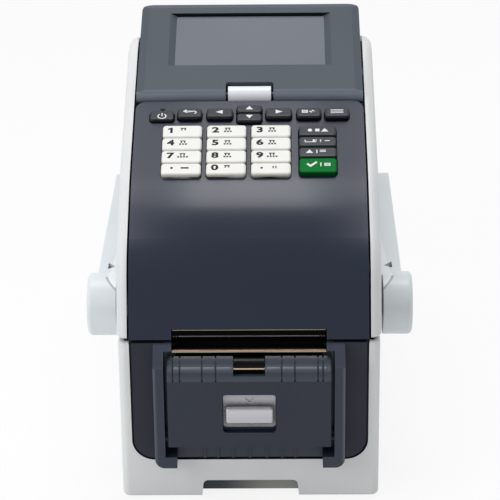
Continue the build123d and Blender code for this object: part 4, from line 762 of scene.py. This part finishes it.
triangle = {"left": [(-1.7, 0), (1.3, -1.25), (1.3, 1.25)], "right": [(1.7, 0), (-1.3, 1.25), (-1.3, -1.25)],
            "up": [(0, 1.25), (-1.6, -1.0), (1.6, -1.0)], "down": [(0, -1.25), (1.6, 1.0), (-1.6, 1.0)]}
sheetMark = [bar(0, 0, 2.6, 1.9), bar(0, 0.35, 1.6, 0.3), bar(0, -0.35, 1.6, 0.3)]
symbols = {
    "key_power": moved([openRing(0, 0, 1.75, 0.45, 125, 415), bar(0, 1.1, 0.42, 2.0)], 0, -0.9, 1.15),
    "key_back": [[(-3.0, 0.6), (-1.4, -0.6), (-1.4, 1.8)], bar(0.3, 0.6, 3.6, 0.5),
                 openRing(2.0, -0.2, 1.05, 0.5, -90, 90)],
    "key_left": [triangle["left"]],
    "key_right": [triangle["right"]],
    "key_up": [triangle["up"]],
    "key_down": [triangle["down"]],
    "key_feed": moved(sheetMark, -1.7) + [[(3.0, 0), (1.4, 1.1), (1.4, -1.1)], bar(0.8, 0, 1.4, 0.5)],
    "key_menu": [bar(0, up, 5.6, 0.42) for up in (0.95, 0, -0.95)],
    "key_mode": [disc(-3.2, 0, 0.95), bar(0, 0, 1.9, 1.7)] + moved([triangle["up"]], 3.2),
    "key_space": [bar(-3.2, -0.75, 4.8, 0.45), bar(-5.38, -0.1, 0.45, 1.4), bar(-0.98, -0.1, 0.45, 1.4),
                  bar(-1.3, 0, 1.6, 1.6), bar(1.3, 0, 0.5, 1.6), bar(4.2, 0, 2.2, 0.5)],
    "key_case": moved([triangle["up"]], -3.6) + [bar(-0.4, 0, 0.5, 2.0), bar(2.2, 0, 2.6, 0.5),
                                                 bar(2.2, 0.8, 2.6, 0.4)],
    "key_ok": [[(-5.0, 0.2), (-4.3, 0.9), (-3.2, -0.2), (-0.9, 2.0), (-0.2, 1.3), (-3.2, -1.6)],
               bar(1.2, 0, 0.5, 2.4)] + moved(sheetMark, 4.0),
    "key_symbol": [disc(-4.0, 0, 0.6), bar(1.6, 0, 3.4, 0.9)],
    "key_point": [disc(-4.0, -0.2, 0.55), bar(0.9, 0.2, 0.5, 1.5), bar(2.1, 0.2, 0.5, 1.5)],
}
for digit in keyMarks["numbers"]:
    small = outlinePiece("mark_beside_" + digit, besideNumber(beside["dots"][digit]))
    placeOnKey(small, "key_" + digit, keyMarks["smallRight"], keyMarks["smallUp"], finishes["inkBlack"])
for key, shapes in symbols.items():
    ink = finishes["inkBlack" if key in nodeFinish["keyWhite"] else "inkWhite"]
    placeOnKey(outlinePiece("mark_" + key[4:], shapes), key, 0, keyMarks["symbolUp"], ink)
print("key marks drawn")

# bead along the door's band, in lengths between its grooves, and the rod that crosses its window. The bead is
# coloured far lighter than the door's plastic as a painted highlight.
doorBead = {"bandDepth": 2.0, "bandHeight": 60.0, "bandRadius": 10.0, "turn": 56.0,
            "radius": 0.55, "sink": 0.15, "end": 0.35, "outer": 32.9,
            "grooves": (-31.9, -29.0, -19.7, -14.0, -7.0, 7.0, 13.6, 19.1, 28.8, 30.9),
            "rodHalf": 6.6, "rodRadius": 0.5, "rodSink": 0.6,
            "sides": 14, "rimShare": 0.5, "rimSteps": 3, "levelWithin": 1e-9}


def beadPiece(name, low, high, radius, sink, finish):
    # a round bar along X on the band's rounded top, sunk a little into it, with rounded rims
    a = math.radians(doorBead["turn"])
    reach = doorBead["bandRadius"] - sink
    place = spot((low + high) / 2, doorBead["bandDepth"] - reach * math.sin(a),
                 doorBead["bandHeight"] + reach * math.cos(a))
    rod = bmesh.new()
    bmesh.ops.create_cone(rod, cap_ends=True, segments=doorBead["sides"], radius1=radius * mm,
                          radius2=radius * mm, depth=(high - low) * mm)
    rims = [edge for edge in rod.edges
            if abs(edge.verts[0].co.z - edge.verts[1].co.z) < doorBead["levelWithin"]]
    bmesh.ops.bevel(rod, geom=rims, offset=radius * doorBead["rimShare"] * mm, offset_type="OFFSET",
                    segments=doorBead["rimSteps"], profile=0.5, affect="EDGES", material=-1)
    laid = Matrix.Translation(place) @ Matrix.Rotation(math.pi / 2, 4, "Y")
    bmesh.ops.transform(rod, matrix=laid, verts=rod.verts)
    mesh = bpy.data.meshes.new(name)
    rod.to_mesh(mesh)
    rod.free()
    for polygon in mesh.polygons:
        polygon.use_smooth = True
    mesh.materials.append(finish)
    piece = addObject(name, mesh)
    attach(piece, "door")


ends = [-doorBead["outer"], *doorBead["grooves"], doorBead["outer"]]
for n, (low, high) in enumerate(zip(ends, ends[1:])):
    if low < -doorBead["rodHalf"] < high:
        beadPiece("door_rod", -doorBead["rodHalf"], doorBead["rodHalf"], doorBead["rodRadius"],
                  doorBead["rodSink"], finishes["warmRod"])
    else:
        beadPiece("door_bead_" + str(n), low + doorBead["end"], high - doorBead["end"], doorBead["radius"],
                  doorBead["sink"], finishes["beadPaintedHighlight"])
print("door bead laid")


# floor, light and camera
white = (1, 1, 1, 1)
floorLook = {"half": 6.0, "colour": (0.92, 0.92, 0.92, 1.0), "seen": 0.86, "paper": (40.0, 4.0),
             "paperSpan": (0.3, 0.7), "dull": 0.99, "rough": 0.9, "shine": 0.1}
worldLook = {"light": 0.49, "frontGlow": 0.05, "frontDark": 0.24, "backSpan": (-0.2, 0.3)}
lamps = {"top": {"power": 4.8, "size": (0.62, 0.24), "place": (0.0, 0.2, 1.1), "aim": (0, -0.058, 0.125)},
         "left": {"power": 1.5, "size": (0.4, 0.4), "place": (-0.56, -0.36, 0.36), "aim": (0, 0, 0.08)}}
view = {"elevation": 24.5, "roll": -0.3, "turn": 0.772, "focalPixels": 2300.0, "imagePixels": 500,
        "sensor": 36.0, "clipStart": 0.01, "right": 13.6, "back": 858.2, "up": 508.0}


def paleFloor():
    # white to the camera, gloss and glass, with the object's shadow on it
    grid = bmesh.new()
    bmesh.ops.create_grid(grid, x_segments=1, y_segments=1, size=floorLook["half"])
    mesh = bpy.data.meshes.new("floor")
    grid.to_mesh(mesh)
    grid.free()
    floor = addObject("floor", mesh)
    finish = Finish("floorPaper")
    paper = finish.noise(*floorLook["paper"]).between(*floorLook["paperSpan"])
    tint = finish.blend(paper, floorLook["colour"], dim(floorLook["colour"], floorLook["dull"]))
    lit = finish.node("ShaderNodeBsdfPrincipled", None,
                      {"Base Color": tint, "Roughness": floorLook["rough"],
                       "Specular IOR Level": floorLook["shine"]})["BSDF"]
    glow = finish.node("ShaderNodeEmission", None, {"Color": white, "Strength": 1.0})["Emission"]
    rays = finish.node("ShaderNodeLightPath")
    seen = rays["Is Camera Ray"] + rays["Is Glossy Ray"] + rays["Is Transmission Ray"]
    mixed = finish.mixShaders(seen * floorLook["seen"], lit, glow)
    finish.node("ShaderNodeOutputMaterial", None, {"Surface": mixed})
    floor.data.materials.append(finish.material)


def paleWorld():
    # pale light all round: white to the camera, and to gloss and glass behind and above. In front they meet a
    # darker room, so that dark plastic keeps its depth.
    world = bpy.data.worlds.new("studio")
    world.use_nodes = True
    maker = NodeMaker(world.node_tree)

    def glow(strength):
        return maker.node("ShaderNodeBackground", None, {"Color": white, "Strength": strength})["Background"]
    rays = maker.node("ShaderNodeLightPath")
    towards = maker.node("ShaderNodeTexCoord")["Generated"]
    back = maker.node("ShaderNodeSeparateXYZ", None, {0: towards})["Y"]
    share = back.between(*worldLook["backSpan"]) * (1 - worldLook["frontGlow"]) + worldLook["frontGlow"]
    seen = rays["Is Camera Ray"] + (rays["Is Glossy Ray"] + rays["Is Transmission Ray"]) * share
    unseen = maker.mixShaders(rays["Is Glossy Ray"], glow(worldLook["light"]), glow(worldLook["frontDark"]))
    maker.node("ShaderNodeOutputWorld", None, {"Surface": maker.mixShaders(seen, unseen, glow(1.0))})
    bpy.context.scene.world = world


def softBox(name, look):
    lamp = bpy.data.lights.new(name, "AREA")
    lamp.shape = "RECTANGLE"
    lamp.energy = look["power"]
    lamp.size, lamp.size_y = look["size"]
    holder = addObject(name + "Light", lamp)
    place = Vector(look["place"])
    holder.location = place
    holder.rotation_euler = (Vector(look["aim"]) - place).to_track_quat("-Z", "Y").to_euler()


def cameraOnPhoto():
    # at the photograph's viewing angle and focal length
    data = bpy.data.cameras.new("camera")
    data.sensor_width = view["sensor"]
    data.lens = view["focalPixels"] / view["imagePixels"] * view["sensor"]
    data.clip_start = view["clipStart"]
    camera = addObject("camera", data)
    tilt = Matrix.Rotation(math.radians(90 - view["elevation"]), 4, "X")
    turn = Matrix.Rotation(math.radians(view["turn"]), 4, "Y")
    roll = Matrix.Rotation(math.radians(view["roll"]), 4, "Z")
    where = Matrix.Translation(spot(view["right"], -view["back"], view["up"]))
    camera.matrix_world = where @ tilt @ turn @ roll
    bpy.context.scene.camera = camera


paleFloor()
paleWorld()
for name, look in lamps.items():
    softBox(name, look)
cameraOnPhoto()
bpy.context.scene.view_settings.view_transform = "Standard"
print("camera and lights set")
